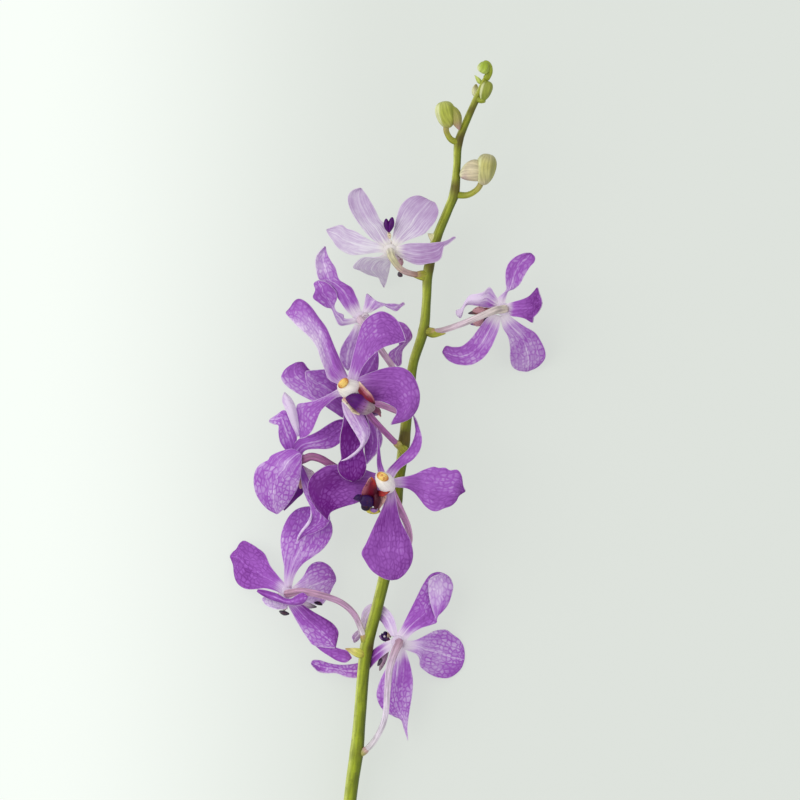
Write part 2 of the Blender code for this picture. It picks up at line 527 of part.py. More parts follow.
def make_stem(shade):
    rows = smooth_path(STEM, STEM_POINTS)
    marks = [Vector(p[:3]) for p in STEM]
    radii = []
    for point in rows:
        near = sorted(range(len(marks)), key=lambda i: abs(marks[i].y - point.y))[:2]
        a, b = min(near), max(near)
        span = marks[b].y - marks[a].y
        mix = max(0.0, min(1.0, (point.y - marks[a].y) / span))
        radii.append(STEM[a][3] + (STEM[b][3] - STEM[a][3]) * mix)
    solids = [tube_mesh(rows, radii, 10)]
    for bloom in BLOOMS.values():
        solids.append(stub(bloom_route(bloom), STUB_RADIUS, STUB_LENGTH))
    for bud in BUDS.values():
        solids.append(bud_stub(bud))
    for root, tip, half, deep in BRACTS:
        middle = Vector(root).lerp(Vector(tip), 0.5) + Vector((0, 0, 0.5))
        solids.append(fleshy_mesh([root, middle, tip], [half, half, half * 0.8],
                                  [deep] * 3, (0, 0, 1), 6, 5))
    return joined("stem", solids, shade, flatten=True)


def bud_stub(bud):
    """A bud's own stalk, which grows out of the stem."""
    route = smooth_path(bud["pedicel"], 7)
    return tube_mesh(route, tapered(1.0, BUD_STALK_RADII, len(route)))


def make_bud(name, bud, shade):
    """A closed bud, with the swelling that its spur makes."""
    base, tip = Vector(bud["base"]), Vector(bud["tip"])
    along = (tip - base).normalized()
    wide, deep = bud["half"]
    stalk_end = Vector(bud["pedicel"][-1])
    foot = stalk_end + along * 2 * GAP
    solids = [fleshy_mesh([foot, foot.lerp(tip, 0.5), tip], [wide * 0.8, wide, wide * 1.02],
                          [deep * 0.8, deep, deep], (0, 0, 1), 10, 8)]
    if bud["lobe"]:
        root, end, half = bud["lobe"]
        solids.append(fleshy_mesh([root, Vector(root).lerp(Vector(end), 0.5), end],
                                  [half * 1.5, half * 1.2, half * 0.7],
                                  [half * 1.2, half, half * 0.6], (0, 0, 1)))
    return joined(name, solids, shade)


def make_bloom(name, bloom, shades):
    hub, face = Vector(bloom["hub"]), Vector(bloom["face"]).normalized()
    lip = Vector(bloom["lip"])
    lip = (lip - face * lip.dot(face)).normalized()
    wing = lip.cross(face)
    up = face if face.z > 0 else -face

    solids = [disc_mesh(hub, face, HUB_RADIUS, HUB_RADIUS, HUB_HEIGHT)]
    solids += [blade_mesh(spec, hub, up) for spec in bloom["tepals"]]
    joined(f"{name}_tepals", solids, shades["tepals"], flatten=True)

    route = bloom_route(bloom)
    path = cut_path(route, STUB_LENGTH + 2 * GAP, path_length(route))
    radii = tapered(PEDICEL_RADIUS, PEDICEL_TAPER, len(path))
    joined(f"{name}_pedicel", [tube_mesh(path, radii)], shades["pedicel"])

    front = hub + face * (HUB_HEIGHT / 2)
    lean = Vector(bloom.get("column", face * 6 - lip * 1.6)).normalized()
    tilt = math.sin(lean.angle(face))
    foot = front - lip * 0.5 + face * (2 * GAP + COLUMN_RADIUS * COLUMN_ROOT * tilt)
    middle = foot + lean * COLUMN_LENGTH / 2
    column = disc_mesh(middle, lean, COLUMN_RADIUS * COLUMN_ROOT, COLUMN_RADIUS,
                       COLUMN_LENGTH, 10)
    joined(f"{name}_column", [column], shades["column"])

    seat = foot + lean * (COLUMN_LENGTH + GAP)
    cap = disc_mesh(seat + lean * CAP_HEIGHT / 2, lean, CAP_RADIUS, CAP_RADIUS, CAP_HEIGHT, 10)
    top = [side for side in cap.faces if side.normal.dot(lean) > 0.9]
    bmesh.ops.inset_region(cap, faces=top, thickness=CAP_RIM, depth=CAP_CROWN)
    joined(f"{name}_cap", [cap], shades["cap"])

    if "tongue" in bloom:
        tongue = [hub + Vector(p) for p in bloom["tongue"]]
    else:
        tongue = [hub + face * out + lip * ahead for out, ahead in TONGUE_ROUTE]
    if "spur" in bloom:
        spur = [hub + Vector(p) for p in bloom["spur"]]
    else:
        spur = [hub + face * out + lip * ahead for out, ahead in SPUR_ROUTE]
    solids = [fleshy_mesh(tongue, TONGUE_WIDTHS, TONGUE_DEPTHS, face, 7, 6)]
    root = tongue[0].lerp(tongue[1], 0.3)
    solids.append(fleshy_mesh([root] + spur, SPUR_WIDTHS, SPUR_WIDTHS, lip, 6, 5))
    root = tongue[0].lerp(tongue[1], 0.4)
    for turn in (-1, 1):
        route = [root + wing * turn * aside + face * out for out, aside in LOBE_ROUTE]
        solids.append(fleshy_mesh(route, LOBE_WIDTHS, LOBE_DEPTHS, wing * turn, 6, 5))
    joined(f"{name}_lip", solids, shades["lip"])


def build():
    for thing in list(bpy.data.objects):
        bpy.data.objects.remove(thing)
    shades = {key: material(key, colour) for key, colour in COLOURS.items()}
    make_stem(shades["stem"])
    for name, bloom in BLOOMS.items():
        make_bloom(name, bloom, shades)
    for name, bud in BUDS.items():
        make_bud(name, bud, shades["bud"])


build()
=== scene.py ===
import math

import bmesh
import bpy
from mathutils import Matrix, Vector, noise


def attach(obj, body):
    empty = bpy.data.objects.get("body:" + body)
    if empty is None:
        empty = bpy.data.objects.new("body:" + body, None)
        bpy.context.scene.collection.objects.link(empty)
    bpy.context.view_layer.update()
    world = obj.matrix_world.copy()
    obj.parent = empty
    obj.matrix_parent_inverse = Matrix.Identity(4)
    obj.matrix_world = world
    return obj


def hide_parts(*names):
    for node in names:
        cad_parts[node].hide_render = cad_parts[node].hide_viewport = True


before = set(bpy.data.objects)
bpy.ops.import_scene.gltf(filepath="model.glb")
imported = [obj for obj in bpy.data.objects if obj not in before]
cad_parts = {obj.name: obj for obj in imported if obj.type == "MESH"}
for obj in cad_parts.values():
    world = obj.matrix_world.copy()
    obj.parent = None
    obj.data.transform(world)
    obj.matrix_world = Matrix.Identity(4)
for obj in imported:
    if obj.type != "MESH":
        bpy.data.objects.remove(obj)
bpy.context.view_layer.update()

# The spray lies on a plan of square steps, X to the right and Y down, with heights in
# millimetres. The middle of the spray goes to the origin, as in the CAD.
step = 0.4                                  # millimetres
planCentre = 400                            # steps, in X and in Y
sprayMiddle = Vector((-5.26, -61.92, 0.0))  # millimetres
eyeHeight, trueHeight = 2500.0, 25.0        # the plan is true to size at the second height
clearance = 0.34                            # the middle of a petal never goes lower
metres = 0.001                              # in one millimetre
noMargin = 5.0                              # stands for a margin where a piece has none
unpainted = (1.0, 1.0, 1.0, 1.0)
upwards = (0, 0, 1)


def plan(x, y, z=0.0):
    return Vector(((x - planCentre) * step, (planCentre - y) * step, z))


def planPath(places):
    return [plan(*place) for place in places]


def rgb(r, g, b):
    # a colour given as 0-255 screen values
    return tuple(((c / 255 + 0.055) / 1.055) ** 2.4 for c in (r, g, b)) + (1.0,)


def clamp(value, low=0.0, high=1.0):
    return max(low, min(high, value))


def smooth(mix):
    return mix * mix * (3 - 2 * mix)


def blend(a, b, mix):
    return tuple(start + (end - start) * mix for start, end in zip(a, b))


# Paths and profiles

def smoothPath(points, count):
    # evenly spaced points on a smooth curve through the given ones
    pts = [Vector(p) for p in points]
    dense, perSpan = [], 24
    for i in range(len(pts) - 1):
        before = pts[i - 1] if i else 2 * pts[0] - pts[1]
        after = pts[i + 2] if i + 2 < len(pts) else 2 * pts[-1] - pts[-2]
        for k in range(perSpan):
            t = k / perSpan
            dense.append(0.5 * (2 * pts[i] + (pts[i + 1] - before) * t
                                + (2 * before - 5 * pts[i] + 4 * pts[i + 1] - after) * t ** 2
                                + (3 * pts[i] - before - 3 * pts[i + 1] + after) * t ** 3))
    dense.append(pts[-1])
    lengths = [0.0]
    for a, b in zip(dense, dense[1:]):
        lengths.append(lengths[-1] + (b - a).length)
    samples, j = [], 0
    for k in range(count):
        goal = lengths[-1] * k / (count - 1)
        while j < len(dense) - 2 and lengths[j + 1] < goal:
            j += 1
        span = max(lengths[j + 1] - lengths[j], 1e-9)
        samples.append(dense[j].lerp(dense[j + 1], min(1.0, (goal - lengths[j]) / span)))
    return samples


def pathLength(path):
    return sum((b - a).length for a, b in zip(path, path[1:]))


def cutPath(path, start, end, count):
    # the part between two distances from the start
    spacing = pathLength(path) / (len(path) - 1)
    result = []
    for k in range(count):
        place = (start + (end - start) * k / (count - 1)) / spacing
        i = max(0, min(int(place), len(path) - 2))
        result.append(path[i].lerp(path[i + 1], place - i))
    return result


class Route:
    # a path that carries a frame which turns as little as possible
    def __init__(self, path, up):
        self.path, self.length = path, pathLength(path)
        self.tangents, self.normals = [], []
        normal = Vector(up)
        for i in range(len(path)):
            tangent = (path[min(i + 1, len(path) - 1)] - path[max(i - 1, 0)]).normalized()
            normal = (normal - tangent * normal.dot(tangent)).normalized()
            self.tangents.append(tangent)
            self.normals.append(normal.copy())

    def at(self, s):
        place = clamp(s) * (len(self.path) - 1)
        i = min(int(place), len(self.path) - 2)
        mix = place - i
        return (self.path[i].lerp(self.path[i + 1], mix),
                self.tangents[i].lerp(self.tangents[i + 1], mix).normalized(),
                self.normals[i].lerp(self.normals[i + 1], mix).normalized())


def even(values, s):
    # one value, or a smooth value at s, 0 to 1, among evenly spaced ones
    if not isinstance(values, (tuple, list)):
        return values
    last = len(values) - 1
    i = 0
    while i < last - 1 and s > (i + 1) / last:
        i += 1
    t = clamp(s * last - i)

    def slope(k):
        low, high = max(k - 1, 0), min(k + 1, last)
        return (values[high] - values[low]) / (high - low)

    return ((2 * t ** 3 - 3 * t ** 2 + 1) * values[i] + (t ** 3 - 2 * t ** 2 + t) * slope(i)
            + (3 * t ** 2 - 2 * t ** 3) * values[i + 1] + (t ** 3 - t ** 2) * slope(i + 1))


def evenColour(colours, s):
    place = clamp(s) * (len(colours) - 1)
    i = min(int(place), len(colours) - 2)
    return blend(colours[i], colours[i + 1], smooth(place - i))


# One mesh with the attributes that the materials read

class Shell:
    def __init__(self):
        self.mesh = bmesh.new()
        layers = self.mesh.verts.layers
        self.along = layers.float.new("along")       # 0 at the root, 1 at the end
        self.margin = layers.float.new("margin")     # millimetres from the margin
        self.under = layers.float.new("under")       # 1 on the back of a petal
        self.tone = layers.float.new("tone")         # below 0 deeper, above 0 paler
        self.claw = layers.float.new("claw")         # how white a petal is at its root
        self.fan = layers.float_vector.new("fan")    # millimetres across and along
        self.paint = layers.float_color.new("paint")
        self.push = layers.float_vector.new("push")  # from a petal's lower side to its upper

    def mark(self, vert, along, margin, fan, tone=0.0, paint=unpainted, claw=0.0):
        vert[self.along], vert[self.margin], vert[self.claw] = along, margin, claw
        vert[self.fan], vert[self.tone], vert[self.paint] = Vector(fan), tone, paint

    def tint(self, vert, *coats):
        for colour, mix in coats:
            vert[self.paint] = blend(vert[self.paint], colour, mix)

    def piece(self, name, material, node):
        for vert in self.mesh.verts:
            spread = 1 + (trueHeight - vert.co.z) / eyeHeight
            place = Vector((vert.co.x * spread, vert.co.y * spread, vert.co.z))
            vert.co = (place - sprayMiddle) * metres
        self.mesh.verts.layers.float_vector.remove(self.push)
        mesh = bpy.data.meshes.new(name)
        self.mesh.to_mesh(mesh)
        self.mesh.free()
        mesh.materials.append(material)
        mesh.shade_smooth()
        thing = bpy.data.objects.new(name, mesh)
        bpy.context.scene.collection.objects.link(thing)
        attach(thing, "root")
        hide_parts(node)


bladeShape = {
    "samples": 121,                      # along each edge
    "thickness": 0.55, "rim": 0.45,      # millimetres, and the share of it that the rim keeps
    "rimWidth": 1.2,                     # millimetres over which it thins
    "reach": 0.988,                      # how far the mesh goes towards the tip
    "tipCrowding": 1.3, "marginCrowding": 0.3, "tipMargin": 0.05,
    "opening": 2.5,                      # how soon past the root the lift and the waves set in
    "rootRound": 3, "tipRound": 4,       # how soon past the root, and before the tip, it is full
    "liftCurve": 1.8, "waveCurve": 2.2, "toneCurve": 1.3,
    "waveLength": 6.5, "smallWaveLength": 2.6, "smallWave": 0.5,
    "swell": 0.5, "swellWidth": 5, "swellLength": 8,
    "groove": 0.22, "grooveWidth": 0.7,  # millimetres, along the front of the middle
    "fanning": 0.6,                      # how far the veins follow the margins
}


# A petal has the two edges that its outline runs along, left and right as seen from above
# on the way from the hub to the tip, then the tip and the heights along its middle. Lift is
# how far the left and the right margin stand up, dome how full the petal is across, tone how
# pale it is along its length, halves what is added to that on the left and on the right,
# wave how ruffled the margins are and white how white the root is. A turned petal is folded
# over and shows its back, and cuts are the rows and columns of its mesh.
def petal(left, right, tip, rise, lift=(0.0, 0.0), dome=0.8, tone=0.0, halves=(0.0, 0.0),
          wave=0.5, white=1.0, turned=False, cuts=(54, 28)):
    return dict(edges=(left + [tip], right + [tip]), rise=rise, lift=lift, dome=dome, tone=tone,
                halves=halves, wave=wave, white=white, turned=turned, cuts=cuts)


def addBlade(shell, shape, faceUp, thickness=bladeShape["thickness"], paint=None,
             floor=clearance):
    # a thin closed blade stretched between two edges, with a soft waved margin
    form = bladeShape
    count = form["samples"]
    edges = [smoothPath(planPath(edge), count) for edge in shape["edges"]]
    middle = []
    for k in range(count):
        point = edges[0][k].lerp(edges[1][k], 0.5)
        point.z = even(shape["rise"], k / (count - 1))
        middle.append(point)
    length = pathLength(middle)
    halves = [(b - a).length / 2 for a, b in zip(*edges)]
    widest = max(halves)
    seed = edges[0][0].x * 0.37 + edges[0][-1].y * 0.11     # another ruffle for each petal
    along, across = shape["cuts"]
    fresh = bmesh.ops.create_grid(shell.mesh, x_segments=across, y_segments=along,
                                  size=0.5)["verts"]
    faces = list({face for vert in fresh for face in vert.link_faces})
    faceUp = faceUp != shape["turned"]
    for vert in fresh:
        x = 2 * vert.co.x
        u = x * (1 + form["marginCrowding"] * (1 - x * x))  # -1 at the left margin, 1 at the right
        s = form["reach"] * (1 - (0.5 - vert.co.y) ** form["tipCrowding"])
        place = s * (count - 1)
        i = int(place)
        mix = place - i
        side = 0 if u < 0 else 1
        half = halves[i] + (halves[i + 1] - halves[i]) * mix
        left, right = [edge[i].lerp(edge[i + 1], mix) for edge in edges]
        spot = left.lerp(right, (1 + u) / 2)
        opened = min(1.0, form["opening"] * s)
        lift = even(shape["lift"][side], s) * abs(u) ** form["liftCurve"] * opened
        crown = even(shape["dome"], s) * (1 - u * u) * min(
            1.0, form["rootRound"] * s, form["tipRound"] * (1 - s))
        wave = noise.noise(Vector((seed + 9 * side, s * length / form["waveLength"], 0)))
        wave += form["smallWave"] * noise.noise(
            Vector((seed, s * length / form["smallWaveLength"], 4 + side)))
        wave *= shape["wave"] * abs(u) ** form["waveCurve"] * opened
        swell = form["swell"] * opened * noise.noise(
            Vector((u * half / form["swellWidth"], s * length / form["swellLength"], seed)))
        groove = form["groove"] * math.exp(-(u * half / form["grooveWidth"]) ** 2) * (1 - s)
        height = even(shape["rise"], s) + lift + crown + wave + swell
        height += -groove if faceUp else groove
        vert.co = Vector((spot.x, spot.y, max(floor, height)))
        tone = even(shape["tone"], s) + shape["halves"][side] * abs(u) ** form["toneCurve"]
        colour = unpainted
        if paint:
            colour = evenColour([evenColour(row, s) for row in paint], (1 + u) / 2)
        fanWidth = form["fanning"] * half + (1 - form["fanning"]) * widest
        shell.mark(vert, s, min(half * (1 - abs(u)), (1 - s) * length + form["tipMargin"]),
                   (u * fanWidth, s * length, seed), tone, colour, shape["white"])
    shell.mesh.normal_update()
    for vert in fresh:
        inwards = min(1.0, vert[shell.margin] / form["rimWidth"])
        thin = thickness * (form["rim"] + (1 - form["rim"]) * inwards)
        vert[shell.push] = vert.normal * thin
        vert.co -= vert.normal * thin / 2
        vert[shell.under] = 1.0 if faceUp else 0.0
    grown = bmesh.ops.extrude_face_region(shell.mesh, geom=faces, use_keep_orig=True)["geom"]
    for vert in grown:
        if isinstance(vert, bmesh.types.BMVert):
            vert.co += vert[shell.push]
            vert[shell.under] = 0.0 if faceUp else 1.0


fleshShape = {"samples": 41, "thinnest": 0.05, "poles": 0.9999}


def addFleshy(shell, points, wide, deep, up, paint, around=20, rings=18, ribs=0, ribDepth=0.0,
              blunt=2.0):
    # a rounded solid along a path, wide across it and less deep; a higher blunt squares its ends
    route = Route(smoothPath(points, fleshShape["samples"]), up)
    fresh = bmesh.ops.create_uvsphere(shell.mesh, u_segments=around, v_segments=rings,
                                      radius=1.0)["verts"]
    for vert in fresh:
        s = (1 + vert.co.z) / 2
        turn = math.atan2(vert.co.y, vert.co.x)
        swell = 1 + ribDepth * math.cos(ribs * turn)
        reach = abs(vert.co.z)
        if reach < fleshShape["poles"]:
            swell *= (1 - reach ** blunt) ** (1 / blunt) / math.sqrt(1 - reach * reach)
        point, tangent, normal = route.at(s)
        aside = tangent.cross(normal)
        radius = max(even(wide, s), fleshShape["thinnest"])
        shell.mark(vert, s, noMargin, (turn * radius, s * route.length, 0),
                   paint=evenColour(paint, s))
        vert.co = (point - aside * vert.co.x * radius * swell
                   + normal * vert.co.y * even(deep, s) * swell)
    return fresh


rodShape = {"up": (0.12, 0.2, 1.0), "endSize": 0.8, "grainRadius": 1.6}


def addRod(shell, path, radii, paint, around=18, ribs=0, ribDepth=0.0, twist=0.0, tones=None):
    # a round rod along a path, closed and drawn in at both ends
    route = Route(path, rodShape["up"])
    last = len(path) - 1
    for vert in shell.mesh.verts:
        vert.tag = True
    made = bmesh.ops.create_cone(shell.mesh, cap_ends=True, cap_tris=False, segments=around,
                                 radius1=1.0, radius2=1.0, depth=1.0)["verts"]
    lengthwise = {edge for vert in made for edge in vert.link_edges
                  if abs(edge.verts[0].co.z - edge.verts[1].co.z) > 0.5}
    bmesh.ops.subdivide_edges(shell.mesh, edges=list(lengthwise), cuts=last - 1)
    for vert in [vert for vert in shell.mesh.verts if not vert.tag]:
        i = round((vert.co.z + 0.5) * last)
        s = i / last
        turn = math.atan2(vert.co.y, vert.co.x)
        radius = radii[i] if isinstance(radii, list) else even(radii, s)
        radius *= 1 + ribDepth * math.cos(ribs * turn + twist * s)
        if i in (0, last):
            radius *= rodShape["endSize"]
        aside = route.tangents[i].cross(route.normals[i])
        shell.mark(vert, s, noMargin, (turn * rodShape["grainRadius"], s * route.length, 0),
                   tones[i] if tones else 0.0, evenColour(paint, s))
        vert.co = route.path[i] + radius * (
            route.normals[i] * vert.co.y - aside * vert.co.x)


# Shader groups, each built once

def addNode(tree, kind, **settings):
    node = tree.nodes.new(kind)
    for key, value in settings.items():
        setattr(node, key, value)
    return node


def feed(tree, socket, source):
    # a link, or a fixed value, into a socket
    if isinstance(source, bpy.types.NodeSocket):
        tree.links.new(source, socket)
    else:
        socket.default_value = source


def mathNode(tree, operation, a, b=0.0, clamped=False):
    node = addNode(tree, "ShaderNodeMath", operation=operation, use_clamp=clamped)
    feed(tree, node.inputs[0], a)
    feed(tree, node.inputs[1], b)
    return node.outputs[0]


def add(tree, a, b, clamped=False):
    return mathNode(tree, "ADD", a, b, clamped)


def times(tree, a, b, clamped=False):
    return mathNode(tree, "MULTIPLY", a, b, clamped)


def ramp(tree, value, low, high, toLow=0.0, toHigh=1.0):
    node = addNode(tree, "ShaderNodeMapRange", interpolation_type="SMOOTHSTEP")
    for name, source in (("Value", value), ("From Min", low), ("From Max", high),
                         ("To Min", toLow), ("To Max", toHigh)):
        feed(tree, node.inputs[name], source)
    return node.outputs["Result"]


def mixColour(tree, factor, a, b):
    node = addNode(tree, "ShaderNodeMix", data_type="RGBA")
    colours = [socket for socket in node.inputs if socket.type == "RGBA"]
    feed(tree, node.inputs["Factor"], factor)
    feed(tree, colours[0], a)
    feed(tree, colours[1], b)
    return next(socket for socket in node.outputs if socket.type == "RGBA")


def noiseNode(tree, vector, scale, detail=2.0, roughness=0.5):
    node = addNode(tree, "ShaderNodeTexNoise")
    feed(tree, node.inputs["Vector"], vector)
    feed(tree, node.inputs["Scale"], scale)
    feed(tree, node.inputs["Detail"], detail)
    feed(tree, node.inputs["Roughness"], roughness)
    return node


def stretch(tree, vector, scale):
    node = addNode(tree, "ShaderNodeMapping")
    feed(tree, node.inputs["Vector"], vector)
    node.inputs["Scale"].default_value = scale
    return node.outputs["Vector"]


def split(tree, vector):
    node = addNode(tree, "ShaderNodeSeparateXYZ")
    feed(tree, node.inputs[0], vector)
    return node.outputs


def newGroup(name, inputs, outputs):
    group = bpy.data.node_groups.new(name, "ShaderNodeTree")
    for direction, sockets in (("INPUT", inputs), ("OUTPUT", outputs)):
        for title, kind, value in sockets:
            socket = group.interface.new_socket(name=title, in_out=direction,
                                                socket_type=f"NodeSocket{kind}")
            if value is not None:
                socket.default_value = value
    given, made = addNode(group, "NodeGroupInput"), addNode(group, "NodeGroupOutput")
    return group, given.outputs, made.inputs


# The four numbers of a range are where it starts and ends, and what it gives there.
veinShape = {
    "wander": 0.5, "wanderReach": (0.8, 1.0, 0.0), "cellStretch": (1.0, 0.72, 1.0),
    "cellEdge": (0.0, 0.3), "cellChance": (0.0, 1.0, 0.5, 1.15),
    "netFade": (0.1, 0.5, 0.15, 1.0),    # the net gives way to streaks towards the root
    "netShade": 0.3,
    "streakStretch": (1.15, 0.07, 1.0), "streaks": (0.34, 0.66, -0.5, 0.5),
    "streakFade": (0.1, 0.7, 1.6, 0.8),
    "clouds": 0.16, "drift": (0.3, 0.7, -0.16, 0.16),
    "backRib": (0.1, 0.4, 0.35, 0.0),    # a paler rib down the back
    "clawFray": -0.16, "claw": (-0.06, 0.11, 1.0, 0.0),
    "rim": (0.06, 0.26, 0.5, 0.0), "rimColour": rgb(232, 218, 238),
    "streakHeight": 0.5,
}


def buildVeinNet():
    # the net of darker veins round paler cells that covers every petal
    form = veinShape
    tree, given, made = newGroup(
        "petal vein net",
        [("Fan", "Vector", None), ("Along", "Float", 0.5), ("Margin", "Float", 5.0),
         ("Back", "Float", 0.0), ("Tone", "Float", 0.0), ("Claw", "Float", 1.0),
         ("Deep", "Color", None), ("Middle", "Color", None), ("Light", "Color", None),
         ("Pale", "Color", None), ("Root", "Color", None),
         ("Cell size", "Float", 1.1), ("Net", "Float", 0.6), ("Lines", "Float", 0.3),
         ("Line scale", "Float", 1.0)],
        [("Color", "Color", None), ("Height", "Float", None)])
    wander = addNode(tree, "ShaderNodeVectorMath", operation="MULTIPLY_ADD")
    feed(tree, wander.inputs[0], noiseNode(tree, given["Fan"], form["wander"]).outputs["Color"])
    wander.inputs[1].default_value = form["wanderReach"]
    feed(tree, wander.inputs[2], given["Fan"])
    size = addNode(tree, "ShaderNodeVectorMath", operation="DIVIDE")
    feed(tree, size.inputs[0], stretch(tree, wander.outputs[0], form["cellStretch"]))
    feed(tree, size.inputs[1], given["Cell size"])
    nets = []
    for feature in ("DISTANCE_TO_EDGE", "F1"):
        net = addNode(tree, "ShaderNodeTexVoronoi", voronoi_dimensions="2D", feature=feature)
        feed(tree, net.inputs["Vector"], size.outputs[0])
        feed(tree, net.inputs["Scale"], 1.0)
        nets.append(net)
    chance = addNode(tree, "ShaderNodeSeparateColor")
    feed(tree, chance.inputs[0], nets[1].outputs["Color"])
    cells = times(tree, ramp(tree, nets[0].outputs["Distance"], *form["cellEdge"]),
                  ramp(tree, chance.outputs[0], *form["cellChance"]))
    cells = times(tree, times(tree, cells, ramp(tree, given["Along"], *form["netFade"])),
                  given["Net"])
    fine = noiseNode(tree, stretch(tree, given["Fan"], form["streakStretch"]),
                     given["Line scale"], 3.0, 0.6).outputs["Fac"]
    lines = times(tree, times(tree, ramp(tree, fine, *form["streaks"]), given["Lines"]),
                  ramp(tree, given["Along"], *form["streakFade"]))
    cloud = noiseNode(tree, given["Fan"], form["clouds"]).outputs["Fac"]
    across = mathNode(tree, "ABSOLUTE", split(tree, given["Fan"])["X"])
    rib = times(tree, ramp(tree, across, *form["backRib"]), given["Back"])
    shade = mathNode(tree, "SUBTRACT", given["Tone"], times(tree, given["Net"], form["netShade"]))
    for part in (cells, lines, ramp(tree, cloud, *form["drift"]), rib):
        shade = add(tree, shade, part)
    # deep to middle below 0, middle to light up to 0.5, and light to pale past it
    colour = mixColour(tree, add(tree, shade, 1.0, True), given["Deep"], given["Middle"])
    colour = mixColour(tree, times(tree, shade, 2.0, True), colour, given["Light"])
    past = mathNode(tree, "SUBTRACT", shade, 0.5)
    colour = mixColour(tree, times(tree, past, 2.0, True), colour, given["Pale"])
    # the white claw is streaked where it runs into the colour
    fringe = add(tree, given["Along"], times(tree, fine, form["clawFray"]))
    claw = times(tree, ramp(tree, fringe, *form["claw"]), given["Claw"])
    colour = mixColour(tree, claw, colour, given["Root"])
    colour = mixColour(tree, ramp(tree, given["Margin"], *form["rim"]), colour,
                       form["rimColour"])
    feed(tree, made["Color"], colour)
    feed(tree, made["Height"], add(tree, cells, times(tree, fine, form["streakHeight"])))
    return tree


mottleShape = {
    "clouds": 260.0, "cloudy": (0.3, 0.7, -0.08, 0.08), "roughness": (0.3, 0.7, 0.36, 0.52),
    "streakStretch": (1.1, 0.09, 1.0), "streaks": (0.35, 0.65, -1.0, 1.0),
    "specks": 900.0, "speckEdge": (0.58, 0.68),
}


def buildMottle():
    # uneven colour with streaks along a stalk and fine specks
    form = mottleShape
    tree, given, made = newGroup(
        "fleshy mottle",
        [("Color", "Color", None), ("Fan", "Vector", None), ("Streaks", "Float", 0.3),
         ("Specks", "Float", 0.2), ("Speck colour", "Color", None), ("Grain", "Float", 1.0)],
        [("Color", "Color", None), ("Height", "Float", None), ("Roughness", "Float", None)])
    place = addNode(tree, "ShaderNodeTexCoord").outputs["Object"]
    cloud = noiseNode(tree, place, form["clouds"], 3.0).outputs["Fac"]
    lines = noiseNode(tree, stretch(tree, given["Fan"], form["streakStretch"]), 1.0, 3.0,
                      0.6).outputs["Fac"]
    shade = times(tree, ramp(tree, lines, *form["streaks"]), given["Streaks"])
    bright = addNode(tree, "ShaderNodeHueSaturation")
    feed(tree, bright.inputs["Color"], given["Color"])
    feed(tree, bright.inputs["Value"], add(tree, add(tree, 1.0, shade),
                                           ramp(tree, cloud, *form["cloudy"])))
    specks = noiseNode(tree, place, form["specks"]).outputs["Fac"]
    spots = times(tree, ramp(tree, specks, *form["speckEdge"]), given["Specks"])
    feed(tree, made["Color"], mixColour(tree, spots, bright.outputs["Color"],
                                        given["Speck colour"]))
    feed(tree, made["Height"], times(tree, add(tree, lines, specks), given["Grain"]))
    feed(tree, made["Roughness"], ramp(tree, cloud, *form["roughness"]))
    return tree


veinNet, mottle = buildVeinNet(), buildMottle()
print("shader groups built")


# Materials

def newMaterial(name, constants):
    material = bpy.data.materials.new(name)
    material.use_nodes = True
    shader = material.node_tree.nodes["Principled BSDF"]
    for title, value in constants.items():
        shader.inputs[title].default_value = value
    return material, material.node_tree, shader


def addPattern(tree, group, attributes, look):
    # a shader group that reads mesh attributes and this material's own values
    node = addNode(tree, "ShaderNodeGroup", node_tree=group)
    for title, (attribute, output) in attributes.items():
        source = addNode(tree, "ShaderNodeAttribute", attribute_name=attribute)
        feed(tree, node.inputs[title], source.outputs[output])
    for title, value in look.items():
        feed(tree, node.inputs[title], value)
    return node.outputs


def addBump(tree, shader, height, strength, distance):
    bump = addNode(tree, "ShaderNodeBump")
    bump.inputs["Strength"].default_value = strength
    bump.inputs["Distance"].default_value = distance
    feed(tree, bump.inputs["Height"], height)
    feed(tree, shader.inputs["Normal"], bump.outputs["Normal"])


petalFinish = {"gloss": 0.2, "roughness": (0.0, 1.4, 0.46, 0.58), "relief": 0.3,
               "reliefDepth": 0.00012}
petalLooks = {
    "fresh": {"Deep": rgb(104, 18, 126), "Middle": rgb(162, 90, 192), "Light": rgb(196, 158, 218),
              "Pale": rgb(226, 208, 238), "Root": rgb(226, 214, 230), "Cell size": 1.5,
              "Net": 0.42, "Lines": 0.28, "Line scale": 1.0},
    "soft": {"Deep": rgb(96, 4, 116), "Middle": rgb(160, 92, 188), "Light": rgb(192, 156, 212),
             "Pale": rgb(224, 206, 234), "Root": rgb(228, 218, 230), "Cell size": 1.6,
             "Net": 0.34, "Lines": 0.26, "Line scale": 1.5},
    "faded": {"Deep": rgb(146, 102, 160), "Middle": rgb(186, 162, 200),
              "Light": rgb(206, 192, 216), "Pale": rgb(224, 218, 230),
              "Root": rgb(228, 224, 218), "Cell size": 1.2, "Net": 0.08, "Lines": 0.55,
              "Line scale": 1.9},
}


def petalMaterial(name, look):
    material, tree, shader = newMaterial(name, {"Specular IOR Level": petalFinish["gloss"]})
    net = addPattern(tree, veinNet, {
        "Fan": ("fan", "Vector"), "Along": ("along", "Fac"), "Margin": ("margin", "Fac"),
        "Back": ("under", "Fac"), "Tone": ("tone", "Fac"), "Claw": ("claw", "Fac")}, look)
    feed(tree, shader.inputs["Base Color"], net["Color"])
    feed(tree, shader.inputs["Roughness"], ramp(tree, net["Height"], *petalFinish["roughness"]))
    addBump(tree, shader, net["Height"], petalFinish["relief"], petalFinish["reliefDepth"])
    return material


